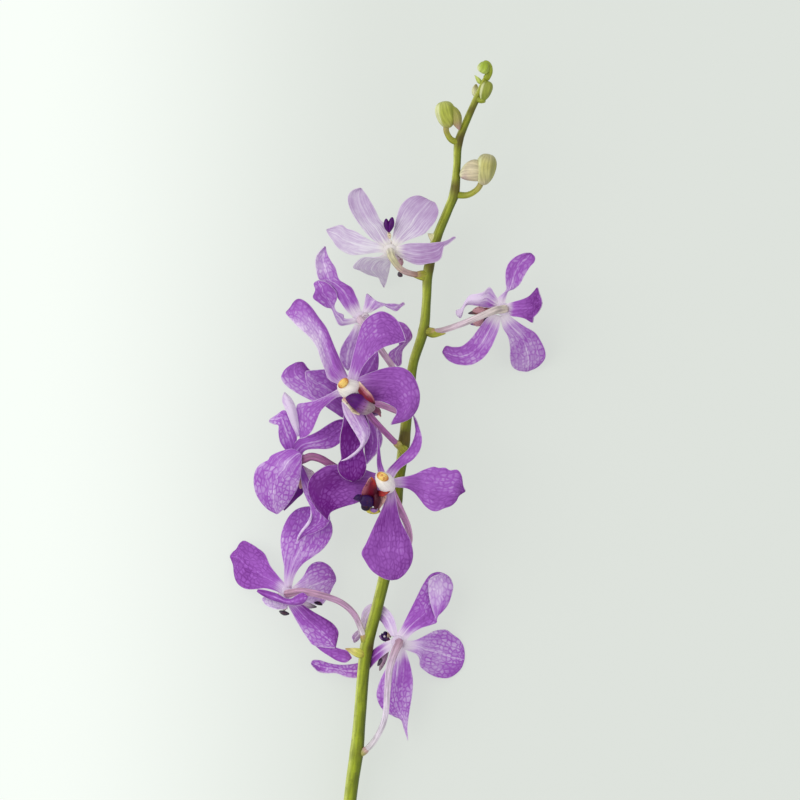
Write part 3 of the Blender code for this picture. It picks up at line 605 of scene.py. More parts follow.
fleshFinish = {"relief": 0.3, "reliefDepth": 0.0001}
fleshLooks = {
    # gloss, then the values of the mottle
    "stem skin": (0.25, {"Streaks": 0.2, "Specks": 0.25, "Grain": 1.0,
                         "Speck colour": rgb(92, 88, 30)}),
    "flower stalk skin": (0.5, {"Streaks": 0.26, "Specks": 0.1, "Grain": 1.0,
                                "Speck colour": rgb(150, 90, 130)}),
    "lip flesh": (0.22, {"Streaks": 0.16, "Specks": 0.6, "Grain": 1.0,
                         "Speck colour": rgb(84, 22, 44)}),
    "column flesh": (0.3, {"Streaks": 0.06, "Specks": 0.06, "Grain": 0.6,
                           "Speck colour": rgb(210, 170, 200)}),
    "anther cap wax": (0.5, {"Streaks": 0.12, "Specks": 0.8, "Grain": 0.6,
                             "Speck colour": rgb(190, 84, 40)}),
    "bud skin": (0.3, {"Streaks": 0.18, "Specks": 0.12, "Grain": 1.0,
                       "Speck colour": rgb(140, 120, 60)}),
}


def fleshMaterial(name, gloss, look):
    # for pieces whose colours were laid on the mesh
    material, tree, shader = newMaterial(name, {"Specular IOR Level": gloss})
    grain = addPattern(tree, mottle, {"Color": ("paint", "Color"), "Fan": ("fan", "Vector")},
                       look)
    feed(tree, shader.inputs["Base Color"], grain["Color"])
    feed(tree, shader.inputs["Roughness"], grain["Roughness"])
    addBump(tree, shader, grain["Height"], fleshFinish["relief"], fleshFinish["reliefDepth"])
    return material


flesh = {name: fleshMaterial(name, *look) for name, look in fleshLooks.items()}
petalSkins = {name: petalMaterial(f"petal {name}", look) for name, look in petalLooks.items()}
print("materials built")


# Stem

stemShape = {
    # plan place, height and radius from the cut end to the tip
    "rows": [
        (327, 1050, 2.6, 2.6), (338, 925, 5.2, 2.6), (350, 800, 8.6, 2.6),
        (356.5, 752.5, 10.4, 2.75), (359.5, 720, 11.8, 2.45), (363.5, 670, 14, 2.4),
        (367, 645, 15.1, 2.6), (371, 630, 15.8, 2.35), (379, 600, 17.4, 2.3),
        (387, 565, 19, 2.45), (396, 510, 21.2, 2.1), (399, 480, 22.2, 2.1),
        (403.5, 448, 23, 2.3), (407, 413, 24, 2.1), (409.5, 390, 24.6, 2.1),
        (413.5, 362.5, 25.2, 1.9), (423.5, 330, 26, 2.05), (426.5, 300, 26.6, 1.8),
        (428, 272.5, 27.1, 2), (436, 240, 27.9, 1.85), (448, 210, 28.4, 1.8),
        (454.5, 192.5, 28.7, 1.9), (457, 165, 29.2, 1.5), (458.5, 142.5, 30, 1.65),
        (467, 120, 30.8, 1.45), (480.5, 90, 31.9, 1.25), (486.5, 77, 32.4, 1.15),
    ],
    "samples": 260, "around": 28, "ribs": 9, "ribDepth": 0.018, "twist": 14.0,
    "joints": (752, 648, 565, 500, 441, 413, 388, 331, 268, 239, 194, 142.5, 100),
    "jointReach": 1.8, "jointSwelling": 0.12,   # millimetres
    # small scales at the joints: root, tip, half width and half thickness, and finish
    "scales": [
        ((366, 655.5, 16.6), (345, 648.5, 16.4), 1.9, 1.0, "husk"),
        ((438, 241, 28), (427.5, 233.5, 28.6), 1.9, 0.9, "dry"),
        ((481.5, 84, 32), (474.5, 75, 33), 1.0, 0.7, "nub"),
        ((429, 277.5, 27.6), (411.5, 276, 28.4), 1.5, 1.0, "fresh"),
        ((426, 334, 26.6), (446, 333.6, 27), 1.6, 1.0, "fresh"),
        ((408, 453, 24.2), (396, 445, 25.6), 2.0, 1.5, "fresh"),
    ],
    # widths and thicknesses from root to tip, as shares of the halves above
    "scaleWidth": (1, 1.05, 0.7, 0.3), "scaleDepth": (1, 0.8, 0.5), "scaleBulge": 0.5,
    # brown stains: plan place, reach in steps and strength
    "stains": [(431, 266, 7, 0.8), (406, 438, 8, 1.6), (461, 139, 8, 1.1), (455, 187, 7, 1.0),
               (430, 331, 4, 1.1), (472, 110, 6, 0.8), (371, 647, 4, 0.5), (398, 482, 6, 0.5),
               (424, 282, 4, 0.5)],
    "mostStain": 0.9, "jointBrown": 0.15, "jointShade": 0.5,
    "green": [rgb(158, 172, 46), rgb(150, 164, 36), rgb(148, 160, 40), rgb(150, 156, 44)],
    "sunless": rgb(84, 98, 14), "shadeSide": Vector((0.85, -0.3, 0)), "shadeStart": 0.25,
    "sunny": rgb(206, 214, 126), "sunSide": Vector((-2, 0, 0)), "sunStart": -0.9,
    "mostLight": 0.85, "brown": rgb(84, 72, 24),
    "cutEnd": rgb(186, 196, 140), "cutReach": 0.0005,
    "dry": [rgb(170, 166, 90), rgb(216, 214, 160), rgb(232, 228, 190)],
    "husk": [rgb(150, 140, 44), rgb(192, 192, 84), rgb(212, 202, 120), rgb(190, 150, 90)],
    "nub": [rgb(166, 182, 70), rgb(190, 204, 104), rgb(200, 210, 120)],
    "fresh": [rgb(110, 116, 40), rgb(160, 164, 56), rgb(182, 174, 92)],
}
stalkShape = {
    # lengths and radii in millimetres, radii from the stem to the hub
    "socketLength": 5.0, "socketRadii": (1.95, 1.68, 1.575, 1.29), "socketOverlap": 0.5,
    "hubOverlap": 0.6, "radii": (1.16, 1.2, 1.3, 1.5, 1.62),
    "routeSamples": 60, "samples": 44, "socketSamples": 12,
    "around": 24, "ribs": 6, "ribDepth": 0.055, "twist": 2.5,
    "socket": [rgb(128, 140, 46), rgb(156, 156, 56), rgb(176, 150, 104)],
}
# the disc that the petals meet at, in millimetres, and the gaps to the stalk and the column
hubShape = {"height": 2.0, "radius": 2.73, "backGap": 0.45, "frontGap": 0.6, "stalkAim": 2.6,
            "reach": 0.62, "up": (0.3, 1, 0.2), "tone": 0.6, "white": 0.8}


def bloomFrame(bloom):
    # the hub, the way that the bloom faces and, square to that, the way that its lip points
    hub, face, lip = plan(*bloom["hub"]), Vector(bloom["face"]).normalized(), Vector(bloom["lip"])
    return hub, face, (lip - face * lip.dot(face)).normalized()


def bloomRoute(bloom):
    # the way of a flower stalk from the stem to its hub
    hub, face = bloomFrame(bloom)[:2]
    back = hub - face * (hubShape["height"] / 2 + hubShape["backGap"])
    end = [back - face * hubShape["stalkAim"], back]
    if "stalkEnd" in bloom:
        end = planPath(bloom["stalkEnd"])
    return smoothPath(planPath(bloom["pedicel"]) + end, stalkShape["routeSamples"])


def stemSection(rows, joints, point):
    # the radius at a point of the stem, and how near it is to a joint
    i = 0
    while i < len(rows) - 2 and point.y > rows[i + 1][0].y:
        i += 1
    (low, lowRadius), (high, highRadius) = rows[i], rows[i + 1]
    mix = smooth(clamp((point.y - low.y) / (high.y - low.y)))
    away = min(abs(point.y - joint) for joint in joints)
    ring = math.exp(-(away / stemShape["jointReach"]) ** 2)
    return lowRadius + (highRadius - lowRadius) * mix + stemShape["jointSwelling"] * ring, ring


def paintStem(shell):
    # painted shade away from the light and a painted highlight on the lit edge, with brown joints,
    # browner on the shaded side, and stains
    form = stemShape
    shell.mesh.normal_update()
    for vert in shell.mesh.verts:
        dark = clamp(form["shadeStart"] + vert.normal.dot(form["shadeSide"]))
        lit = clamp(form["sunStart"] + vert.normal.dot(form["sunSide"]))
        stain = 0.0
        for x, y, reach, strength in stemShape["stains"]:
            away = (vert.co - plan(x, y, vert.co.z)).length / reach / step
            stain += strength * math.exp(-away ** 2)
        # the joints' brown grows with the painted shade on the side away from the light
        ring = (form["jointBrown"] + form["jointShade"] * dark) * vert[shell.tone]
        shell.tint(vert, (form["sunless"], dark), (form["sunny"], lit * form["mostLight"]),
                   (form["brown"], ring), (form["brown"], min(form["mostStain"], stain)))
        if vert[shell.along] < form["cutReach"]:
            vert[shell.paint] = form["cutEnd"]


def makeStem():
    shell = Shell()
    rows = [(plan(*row[:3]), row[3]) for row in stemShape["rows"]]
    joints = [plan(0, joint).y for joint in stemShape["joints"]]
    path = smoothPath([row[0] for row in rows], stemShape["samples"])
    radii, rings = zip(*(stemSection(rows, joints, point) for point in path))
    addRod(shell, path, list(radii), stemShape["green"], stemShape["around"], stemShape["ribs"],
           stemShape["ribDepth"], stemShape["twist"], rings)
    paintStem(shell)
    for bloom in blooms.values():
        socket = cutPath(bloomRoute(bloom), 0.0, stalkShape["socketLength"],
                         stalkShape["socketSamples"])
        addRod(shell, socket, stalkShape["socketRadii"],
               bloom.get("socket", stalkShape["socket"]))
    for bud in buds.values():
        stalk = smoothPath(planPath(bud["pedicel"]), budShape["stalkSamples"])
        addRod(shell, stalk, budShape["stalkRadii"], bud.get("stalk", budShape["stalk"]),
               around=16, ribs=5, ribDepth=0.05)
    for root, tip, half, deep, finish in stemShape["scales"]:
        root, tip = plan(*root), plan(*tip)
        middle = root.lerp(tip, 0.5) + Vector((0, 0, stemShape["scaleBulge"]))
        addFleshy(shell, [root, middle, tip], [half * share for share in stemShape["scaleWidth"]],
                  [deep * share for share in stemShape["scaleDepth"]], upwards,
                  stemShape[finish])
    shell.piece("greenStem", flesh["stem skin"], "stem")


def makeStalk(name, bloom):
    shell = Shell()
    route = bloomRoute(bloom)
    path = cutPath(route, stalkShape["socketLength"] - stalkShape["socketOverlap"],
                   pathLength(route) + stalkShape["hubOverlap"], stalkShape["samples"])
    addRod(shell, path, stalkShape["radii"], bloom["stalk"], stalkShape["around"],
           stalkShape["ribs"], stalkShape["ribDepth"], stalkShape["twist"])
    shell.piece(f"{name}_flowerStalk", flesh["flower stalk skin"], f"{name}_pedicel")


# Blooms

# Places are on the plan, in steps, with heights in millimetres. Each bloom has its hub, the
# ways that it faces and that its lip points, its stalk, the parts of its lip and its petals.
# Bits are small folds and teeth of the lip. Lobes are its flaps, each with rows of colours
# from the left margin to the right, and a bloom that names none has two plain ones.
blooms = {
    "bloom_1": dict(
        hub=(390, 250, 30.0), face=(-0.1, 0.45, -0.88), lip=(0.0, 0.89, 0.45), look="faded",
        pedicel=[(428, 274, 27.1), (416.5, 274.5, 28.8), (406, 272, 31.5), (398.5, 267, 34.2),
                 (392, 257.5, 35)],
        stalk=[rgb(158, 122, 104), rgb(196, 166, 164), rgb(192, 186, 148), rgb(224, 220, 200)],
        tongue=[(390, 239, 30.5), (389.4, 235.5, 32), (388.6, 231.5, 33)],
        tongueWidth=(0.5, 0.75, 0.6), tongueColours=("cream", "cream"),
        spur=[(397, 257, 25.4), (401, 262, 25.4), (400, 268, 26)],
        spurWidth=(0.3, 1.0, 1.9, 1.0), spurColours=("ivory", "pearl", "rose"),
        bits=[([(388.6, 232.5, 33.2), (386.6, 225, 34), (386.2, 218.5, 34.6)], (0.7, 1.15, 1.0),
               "plum"),
              ([(389.3, 232.5, 33.4), (391, 224.5, 34.4), (392.3, 217, 35)], (0.7, 1.3, 1.1),
               "plum"),
              ([(398.5, 272, 26.5), (400, 274.5, 27), (402.5, 276.5, 27)], (0.7, 1.0, 0.7),
               "grey")],
        lobes=[],
        petals=[
            petal([(386, 248), (377, 243), (366, 233), (357, 221), (351, 211), (348, 202),
                   (348.5, 195), (353, 190)],
                  [(391, 246), (389.5, 236), (386, 225), (380, 219.5), (376, 211), (371, 202),
                   (366, 194)], (361, 187.5), (30, 30.6, 31.4, 31.8, 31.7, 30.5),
                  lift=(2.0, 0.6), tone=(0.9, 0.4, 0.1, 0.1)),
            petal([(392, 246), (393, 235), (396.5, 218), (400, 207), (407, 199), (416, 195.5),
                   (423, 197), (427, 202)],
                  [(396, 248), (404, 242), (414, 238), (424, 234), (430, 228), (435.5, 221),
                   (438.5, 213), (437.5, 207), (434, 202)], (429.5, 204.5),
                  (30, 30.5, 31.1, 31.4, 31, 30), lift=(0.4, 1.2), tone=(1.0, 0.35, -0.05, -0.4)),
            petal([(389, 254), (380, 252.5), (372, 253), (362, 254.5), (352, 255), (344, 252),
                   (337, 247), (333, 241), (328.5, 235)],
                  [(388, 248), (382, 245), (372, 241), (363, 236), (355, 231), (347, 228.5),
                   (342, 225), (336, 226)], (326, 229.5), (30, 29.7, 29, 28.2, 27.1, 26),
                  lift=(0.2, 1.2), tone=(1.0, 0.7, 0.4, 0.2)),
            petal([(394, 247), (400, 245.5), (408, 243.5), (418, 243), (428, 243), (436, 242.3),
                   (443, 241.5), (449, 239.3), (453, 236.6)],
                  [(394, 252), (400, 257), (407, 261), (414, 264), (421, 265), (428, 263.5),
                   (436, 262), (441, 258), (442.5, 252), (444, 246.5), (448, 244.2)],
                  (456.5, 237.3), (30, 30.9, 32.2, 33.1, 33.2, 33),
                  lift=(0.4, (0, 0.5, 2.5, 1)), tone=(0.7, -0.3, -0.6, -0.3)),
            # this petal's pale tone is partly painted light, lifting a petal that slopes steeply
            # away
            petal([(392, 253), (391, 262), (389.5, 270), (388, 276), (386.5, 282)],
                  [(386, 252), (378, 257), (362, 258), (353, 267), (360, 270.5), (368, 274.5),
                   (377, 276), (381, 283)], (384, 288), (30, 26, 19, 12, 5.4, 0.2),
                  lift=(0.4, 1.0), tone=(1.0, 0.6, 0.5, 0.5)),
        ]),
    "bloom_2": dict(
        hub=(503, 309, 25.0), face=(-0.25, -0.05, -0.97), lip=(-0.96, -0.15, -0.1), look="soft",
        pedicel=[(423, 331, 26), (439, 331, 27), (460, 324.5, 28.6), (477.5, 317.5, 30.2),
                 (493.5, 311, 30.6)],
        stalk=[rgb(178, 150, 160), rgb(206, 186, 198), rgb(204, 190, 190), rgb(204, 196, 176)],
        tongue=[(494, 312, 22), (484, 318, 21), (476, 322, 20), (470, 324, 19)],
        spur=[(491.5, 311, 22.1), (482, 311, 22.6), (468, 313.5, 23)],
        stalkEnd=[(500, 309.6, 27.8), (505.5, 308.8, 26.4)],
        # the pale rose of these bits is painted light against the shade they lie in
        bits=[([(486, 309, 23.4), (479, 310, 23.6), (472, 311, 23.2)], (0.9, 1.4, 0.9), "litRose"),
              ([(484, 317, 22), (478, 322, 21.6), (472, 319, 21)], (1.0, 1.8, 1.4), "litRose")],
        petals=[
            petal([(500, 306), (497.5, 299), (504, 292.5), (506.3, 289), (505.5, 282),
                   (505.5, 272), (508, 264), (514, 257.5), (523, 253.3)],
                  [(505, 305), (506, 298), (508.5, 291), (514, 289), (520, 284), (525, 275),
                   (530, 267), (534.5, 262), (535, 257)], (531, 252.7),
                  (25, 25.6, 26, 26, 25, 24), lift=(1.6, 0.4), tone=(0.9, 0.25, 0.0, -0.3)),
            petal([(506, 304), (514, 301.5), (522, 299.3), (529, 296), (534, 291), (537.5, 287.3),
                   (539.5, 293), (541.7, 299)],
                  [(506, 311), (511, 316), (519, 317.3), (525, 319), (532.5, 323), (533.5, 318),
                   (538, 313), (541.5, 307)], (542.2, 303), (25, 26.5, 29, 32, 35, 38),
                  lift=(0.6, 1.0), tone=(0.4, -0.4, -0.6, -0.6)),
            petal([(507, 313), (514, 319), (525, 326.5), (535, 332.5), (541, 341), (545, 350),
                   (545.5, 357), (542, 363), (536, 368)],
                  [(500, 317), (503, 328), (508, 337), (510, 348), (510, 358), (512, 366),
                   (518, 370.5)], (527, 371.7), (25, 21.5, 16.2, 10.3, 4.6, 0.3),
                  lift=(0.5, 1.2), tone=(0.8, 0.3, 0.25, 0.1), halves=(-0.25, 0.1)),
            petal([(501, 316), (499.5, 327), (496, 337), (491, 348), (484, 357.5), (474, 364),
                   (465, 365.5), (455, 364), (447, 359.5)],
                  [(493, 314), (486, 319), (479, 328), (471, 338.5), (462, 345.8), (453, 346.8),
                   (446, 345.8)], (441.8, 352), (25, 24.3, 23.4, 22.4, 21.2, 20),
                  lift=(1.0, 0.4), tone=(0.5, 0.15, 0.0, -0.5), halves=(0.0, -0.1)),
            # the pale tone is partly a painted highlight across the top of this petal
            petal([(498, 307), (488, 307.5), (477, 305.7), (468, 304.8), (464, 308.5),
                   (462.6, 313.5), (460.5, 318)],
                  [(500, 302), (495, 294.5), (489.7, 287), (484, 291.5), (477, 293.7), (470, 295),
                   (465, 301), (461, 308), (456, 310.5)], (456.3, 315),
                  (25, 26, 28, 28, 26, 23), lift=(-1.6, 1.2), tone=(0.3, 0.8, 1.1, 1.0),
                  halves=(-0.6, 0.2)),
        ]),
    "bloom_3": dict(
        hub=(361, 318, 28.0), face=(0.0, 0.25, -0.97), lip=(0.8, 0.55, 0.14), look="soft",
        pedicel=[(409.5, 388, 24.6), (398, 377.5, 26), (391, 364.5, 28), (380, 348.5, 31.2),
                 (369, 332, 33.4)],
        stalk=[rgb(190, 156, 182), rgb(198, 164, 188), rgb(196, 160, 186), rgb(216, 196, 206)],
        tongue=[(366, 319, 24), (371, 321, 21.5), (377, 323, 19), (382, 325, 17.4)],
        spur=[(371, 323, 20), (375, 327, 18), (379, 330, 17)],
        bits=[([(361.5, 317.5, 32), (365, 314.2, 32.2), (369.5, 316, 31)], (0.5, 0.7, 0.5),
               "pearl")],
        lobes=[],
        petals=[
            # the paler tone towards the tip is partly a painted highlight on the fold
            petal([(354, 318), (346, 310), (339, 300), (333, 291), (327, 285), (320, 281),
                   (317, 274), (315.4, 263), (316.5, 256), (320, 251)],
                  [(361.5, 313), (359, 303), (356, 296), (352, 288), (345, 283.5), (339, 279),
                   (335.5, 268), (331, 261), (327.5, 254)], (325.3, 245.5),
                  (28, 27.3, 26.3, 24.9, 24, 24), lift=((0, 0, 2.4, 2.0), 0.4),
                  tone=(0.4, -0.05, 0.1, 0.45, 0.3), halves=(0.2, -0.2)),
            petal([(357, 323), (348, 324.8), (339.5, 325.3), (335, 317), (331.5, 309),
                   (326, 307.5), (319, 303), (312.8, 297.5), (315, 290), (313.5, 283.5)],
                  [(357, 317), (349, 318.7), (344, 318), (343.5, 314.5), (337, 311.5),
                   (334.5, 306), (337, 299), (336.5, 293), (332, 286.5), (326, 282)],
                  (318.5, 280), (28, 27.4, 27.5, 27.6, 28, 27.6), lift=(0.4, 0.8),
                  tone=(0.7, 0.6, 0.2, -0.1, -0.1)),
            petal([(361, 313), (364, 305), (366.6, 293.5), (369.5, 299.3), (379, 302), (386, 303.5),
                   (393, 303.3), (399, 304.3), (403, 302.3)],
                  [(370, 313), (376, 309.5), (382, 306.8), (387, 305), (391, 309), (396.5, 311.3),
                   (401, 307.5)], (405.2, 304.2), (28, 27.7, 26.7, 25.4, 23.8, 22),
                  lift=((0, 2, 1.5, 0), 0.2), tone=(0.7, 0.55, 0.4, 0.3)),
            # the pale tone is partly painted light against the shade that falls on this petal
            petal([(361, 325), (360, 335), (357, 350), (353, 362)],
                  [(355, 324), (350, 333), (344, 342), (340, 351), (340, 359), (343, 366)],
                  (348, 371), (28, 28, 28, 27.9, 27.7, 27.5), lift=(0.2, 1.0),
                  tone=(0.7, 0.5, 0.4, 0.3)),
            petal([(365, 316), (375, 315), (386, 317), (397, 320.8), (405, 323.5), (411, 331),
                   (412.3, 337.5), (407.5, 344), (403, 350), (402, 358), (401.5, 364)],
                  [(366, 323), (376, 325), (386, 329), (394, 337), (399, 344), (396, 347.5),
                   (390.5, 351), (388, 355.5), (391, 360.5)], (398, 367),
                  (28, 25.7, 23.3, 21.3, 19.5, 18.5), lift=(0.6, 0.6),
                  tone=(0.2, 0.1, -0.15, 0.2, 0.35)),
        ]),
    "bloom_4": dict(
        hub=(352, 388, 44.0), face=(-0.1, -0.05, 0.99), lip=(0.74, -0.67, 0.0), look="soft",
        pedicel=[(403.5, 448.5, 23), (396, 443, 25.6), (385, 432, 30.4), (371.5, 417.5, 36.2),
                 (361, 402.5, 39.6)],
        stalk=[rgb(176, 104, 168), rgb(172, 94, 164), rgb(176, 98, 168), rgb(182, 112, 174)],
        socket=[rgb(150, 156, 60), rgb(186, 186, 88), rgb(190, 170, 110)],
        columnPath=[(361, 390.5, 43), (355.5, 389.5, 46.4), (349, 389, 48.6), (342.5, 386.5, 50),
                    (337.6, 384, 50)],
        columnWidth=(2.4, 3.7, 4.2, 4.2, 3.4),
        cap=[(339, 387.4, 51.6), (343.4, 383, 53), (347.6, 378.9, 51.8)],
        capWidth=(1.65, 1.25),
        tongue=[(345.6, 398, 50.2), (351, 399, 51.4), (357.5, 401.8, 52), (365, 406.5, 51.4),
                (375, 409, 49)],
        tongueWidth=(2.3, 3.2, 3.4, 3.8, 2.6),
        tongueColours=("plum", "plum", "plum", "plum", "dusk", "ash", "ash", "ash"),
        spur=[(373.5, 409, 46), (378, 411.5, 43.4), (381, 417, 40.6)],
        spurWidth=(1.1, 1.5, 1.4, 0.8), spurColours=("night", "damson", "damson", "rosewood"),
        lobes=[
            (petal([(359.3, 381.3), (362.5, 384.8), (366.5, 389), (370.5, 393.5), (373.4, 398)],
                   [(358, 385), (358.3, 391), (361, 395.5), (366, 399.2), (371, 402.4)],
                   (375.2, 404.2), (49, 51.5, 53.4, 53.8, 53.2), lift=(0.8, -0.6), dome=-0.3,
                   wave=0.2, cuts=(32, 22)),
             [("cream", "bisque", "bisque", "rosewood", "throat"),
              ("cream", "rosewood", "rosewood", "maroon", "throat"),
              ("cream", "maroon", "maroon", "maroon", "night"),
              ("orange", "maroon", "maroon", "maroon", "night")]),
            (petal([(359, 415.3), (353, 413), (349.5, 409), (346, 405), (342.6, 401.7)],
                   [(362, 411), (356, 405), (351, 401), (346.5, 397.5)], (342.4, 398.6),
                   (48, 49.6, 50.2, 50.2), lift=(0.6, -1.0), dome=0.3, wave=0.2, cuts=(30, 20)),
             [("cream", "cream", "ivory", "cream"), ("bisque", "brown", "bisque", "bisque"),
              ("maroon", "maroon", "rosewood", "bisque")]),
        ],
        petals=[
            # its pale left and middle and deep right side are partly painted highlight and painted
            # shade on its folds
            petal([(345, 386), (335, 383), (328, 378.5), (325, 370), (321, 360), (317.5, 349),
                   (312, 340), (305, 333), (297, 326), (290, 318.5)],
                  [(350, 381), (346.5, 373), (341, 361), (335.5, 349), (331, 338), (326, 327),
                   (318.5, 317), (311, 306.5), (304, 300.3), (298, 298.7), (293.5, 302),
                   (290, 307.5)], (285, 313), (44, 44.9, 45.5, 45, 43.5, 40),
                  lift=((0, 2.6, 3.0, 1.0), (0, -0.6, -0.6, 0)), white=0.3,
                  tone=(0.0, 0.25, 0.4, 0.4, -0.1), halves=(0.45, -0.75)),
            petal([(346, 384), (348, 375), (351.5, 361), (355, 347), (358.5, 334), (362, 324),
                   (368, 317), (375, 313), (382, 311), (390, 314), (397, 320), (402.5, 330)],
                  [(357, 383), (359.5, 375), (363, 367), (370, 358), (377.5, 351.5), (385, 347),
                   (395, 344)], (406, 341), (44, 45.2, 46.4, 46.8, 46.6, 45.6), white=0.5,
                  lift=(1.4, 0.8), tone=(0.35, 0.1, -0.1, -0.3, -0.1)),
            petal([(354, 382), (360, 377), (374, 371.3), (388, 367.3), (400, 367), (409, 371),
                   (415, 378.5), (419, 389), (420, 398), (418, 408), (412, 417), (404, 421.5)],
                  [(357, 392), (364, 396), (372, 400.5), (381, 401.5), (390, 405), (396, 409),
                   (396, 414), (393, 419)], (390.5, 425), (44, 45.6, 47, 47, 45, 42), white=0.2,
                  lift=(0.0, 0.8), dome=1.6, tone=(-0.1, -0.35, -0.3, -0.2, -0.15),
                  halves=(-0.1, -0.1)),
            # its deep tone is partly the petal's own colour and partly painted shade in its cupped
            # end
            petal([(357, 399), (363, 410), (368, 420), (370, 432), (367.5, 441), (363.5, 449),
                   (366, 459), (366.3, 468), (364, 475), (360, 479)],
                  [(345, 402), (344, 412), (342.5, 424), (340, 437), (340, 449), (341, 459),
                   (338, 464), (338, 470), (340.5, 475), (346, 479.5)], (353, 481.5),
                  (44, 44.6, 44, 43.6, 46.5, 45), white=0.0, dome=(-0.6, -0.6, 1.0, 2.2),
                  lift=(0.2, 0.6), tone=(-0.6, -0.85, -0.95, -0.9, -1.05)),
            petal([(355, 400), (361, 411), (366.5, 421), (370, 431), (368.3, 438), (363.5, 446),
                   (356.5, 454), (348.5, 459)],
                  [(341.5, 402), (344, 414), (351, 426.5), (358, 438), (360.5, 444.5),
                   (355.5, 451), (348, 457)], (340.5, 461.3), (45, 46.6, 48, 48.6, 48, 47.6),
                  turned=True, white=0.0, lift=((0, -1.4, -1.6, 0), (0, 1.0, 0.6, 0)), dome=0.4,
                  tone=(0.45, 0.6, 0.7, 0.8), halves=(-0.4, 0.25), cuts=(50, 16)),
            petal([(345, 396), (337, 397.5), (329, 403), (321, 411), (316.5, 421), (312, 431),
                   (306, 437)],
                  [(346, 386), (338, 389), (330, 393.5), (322, 397.5), (313, 401), (305, 402.6),
                   (297, 405), (297, 417), (298, 429)], (300, 438.5),
                  (44, 44.7, 45.5, 45.4, 44.4, 42.6), white=0.7, lift=(1.0, (0, 1.0, -0.6, -0.6)),
                  tone=(0.6, 0.1, -0.05, -0.15), halves=(-0.15, 0.25)),
            petal([(297.7, 437), (292, 426), (286.5, 412), (282, 400.5)],
                  [(299.7, 434), (298.3, 421), (295.8, 408), (291.3, 398.5)], (284.3, 391.8),
                  (43.2, 45.6, 47.6, 48.4, 48.6), turned=True, white=0.0, lift=(0.6, -1.2),
                  dome=0.7, tone=(0.7, 0.95, 0.95, 0.9), cuts=(40, 14)),
        ]),
    "bloom_5": dict(
        hub=(358, 400, 26.0), face=(0.15, -0.1, -0.98), lip=(0.84, -0.54, 0.18), look="soft",
        pedicel=[(407, 413, 24), (396.5, 411, 26.6), (384, 406, 29.8), (372.5, 402.5, 31.8),
                 (362, 400.5, 31.4)],
        stalk=[rgb(206, 148, 192), rgb(208, 144, 194), rgb(200, 134, 186), rgb(206, 160, 200)],
        spur=[(369.5, 405.5, 23.2), (376.5, 409, 24.2), (381, 413.5, 25.4)],
        petals=[
            petal([(350, 402), (335, 404), (318, 403), (306, 398), (294, 391.5), (285, 384.5),
                   (281, 377.5), (284, 370.5), (290, 365.5)],
                  [(352, 393), (335, 388), (320, 378), (309, 369), (304, 362.5), (300, 361.8)],
                  (296.5, 362.4), (26, 24.2, 21.9, 20, 18.4, 17), lift=(0.2, 1.0),
                  tone=(0.0, 0.0, -0.1, -0.5), halves=(0.35, -0.55)),
            petal([(352, 402), (349, 412), (343.5, 418), (335, 413), (326, 407), (318, 400),
                   (311, 394), (307, 385), (305.5, 377)],
                  [(352, 388), (342, 380), (332, 372), (326, 369.3), (315, 370)], (305.2, 371),
                  (26, 27.1, 29.7, 31.7, 33.4, 35), lift=(0.0, 0.5), tone=(-0.3, -0.1, 0.1, 0.0)),
            petal([(354, 392), (356, 378), (361, 367), (368, 358)],
                  [(362, 396), (368, 384), (374, 376), (378, 369), (378.8, 359)], (378, 350.5),
                  (26, 24.9, 23.2, 21.7, 20.3, 19), tone=(-0.2, -0.2, -0.2, -0.2)),
            petal([(366, 405), (374, 416), (379, 427), (382.5, 437), (381.5, 445), (378, 452),
                   (373, 457.5)],
                  [(357, 406), (358, 420), (362, 432), (364, 445), (365, 456)], (366.5, 464.5),
                  (26, 24.7, 22.9, 21, 19.3, 18), lift=(1.8, 0.2), tone=(0.0, 0.0, -0.3, -0.35),
                  halves=(0.5, -0.4)),
            petal([(362, 406), (360, 420), (354, 432)],
                  [(354, 406), (346, 418), (341, 430)], (346, 438), (26, 23.9, 20.6, 17.2, 13, 9),
                  tone=(-0.4, -0.6, -0.7)),
        ]),
    "bloom_6": dict(
        hub=(298, 457, 30.0), face=(-0.35, -0.3, -0.89), lip=(0.95, -0.25, -0.3),
        pedicel=[(397, 500, 21.6), (385, 494, 22.6), (370, 486, 26.6), (350, 475.5, 31.6),
                 (331, 464.8, 33.6), (321, 459, 34), (311.5, 456.6, 33.8)],
        stalkEnd=[(304.5, 459, 32.8), (298, 461.5, 31.6)],
        stalk=[rgb(140, 74, 122), rgb(160, 98, 146), rgb(158, 94, 140), rgb(146, 84, 128)],
        column=(-2.0, -1.2, -5.6),
        tongue=[(302, 465, 26.4), (305.5, 469.5, 26), (309, 473.5, 25.2), (315.5, 477.5, 24.4)],
        # the pearl in this tongue is partly painted light, lifting a wedge that lies in shade
        tongueWidth=(0.6, 1.2, 2.0, 1.8), tongueColours=("mauve", "pearl", "pearl", "rose"),
        spur=[(304, 474, 24), (306, 479, 23)], spurColours=("rose", "rose"),
        bits=[([(300.5, 477, 25), (300.8, 484, 24.4), (300.4, 489, 24)], (0.9, 1.2, 0.7), "tan")],
        lobes=[],
        petals=[
            petal([(302, 455), (301.5, 466), (300.3, 478), (297, 489), (291.5, 499), (285.5, 507)],
                  [(299, 451.5), (292, 448.8), (281, 451), (271, 455.5), (268, 460), (262, 463),
                   (256, 469), (253.6, 479), (255, 491), (260, 501), (268, 509.5)],
                  (277.5, 514.5), (35.2, 35.2, 33.2, 29.8, 26.2, 23), white=0.0, dome=1.6,
                  lift=(0.2, 0.2), tone=(0.25, 0.3, 0.2, 0.2, 0.2), halves=(0.0, -0.1)),
            petal([(291, 455), (284.5, 449), (280, 442), (278.3, 433), (278.3, 425.8),
                   (274, 424.3), (269.5, 422.3)],
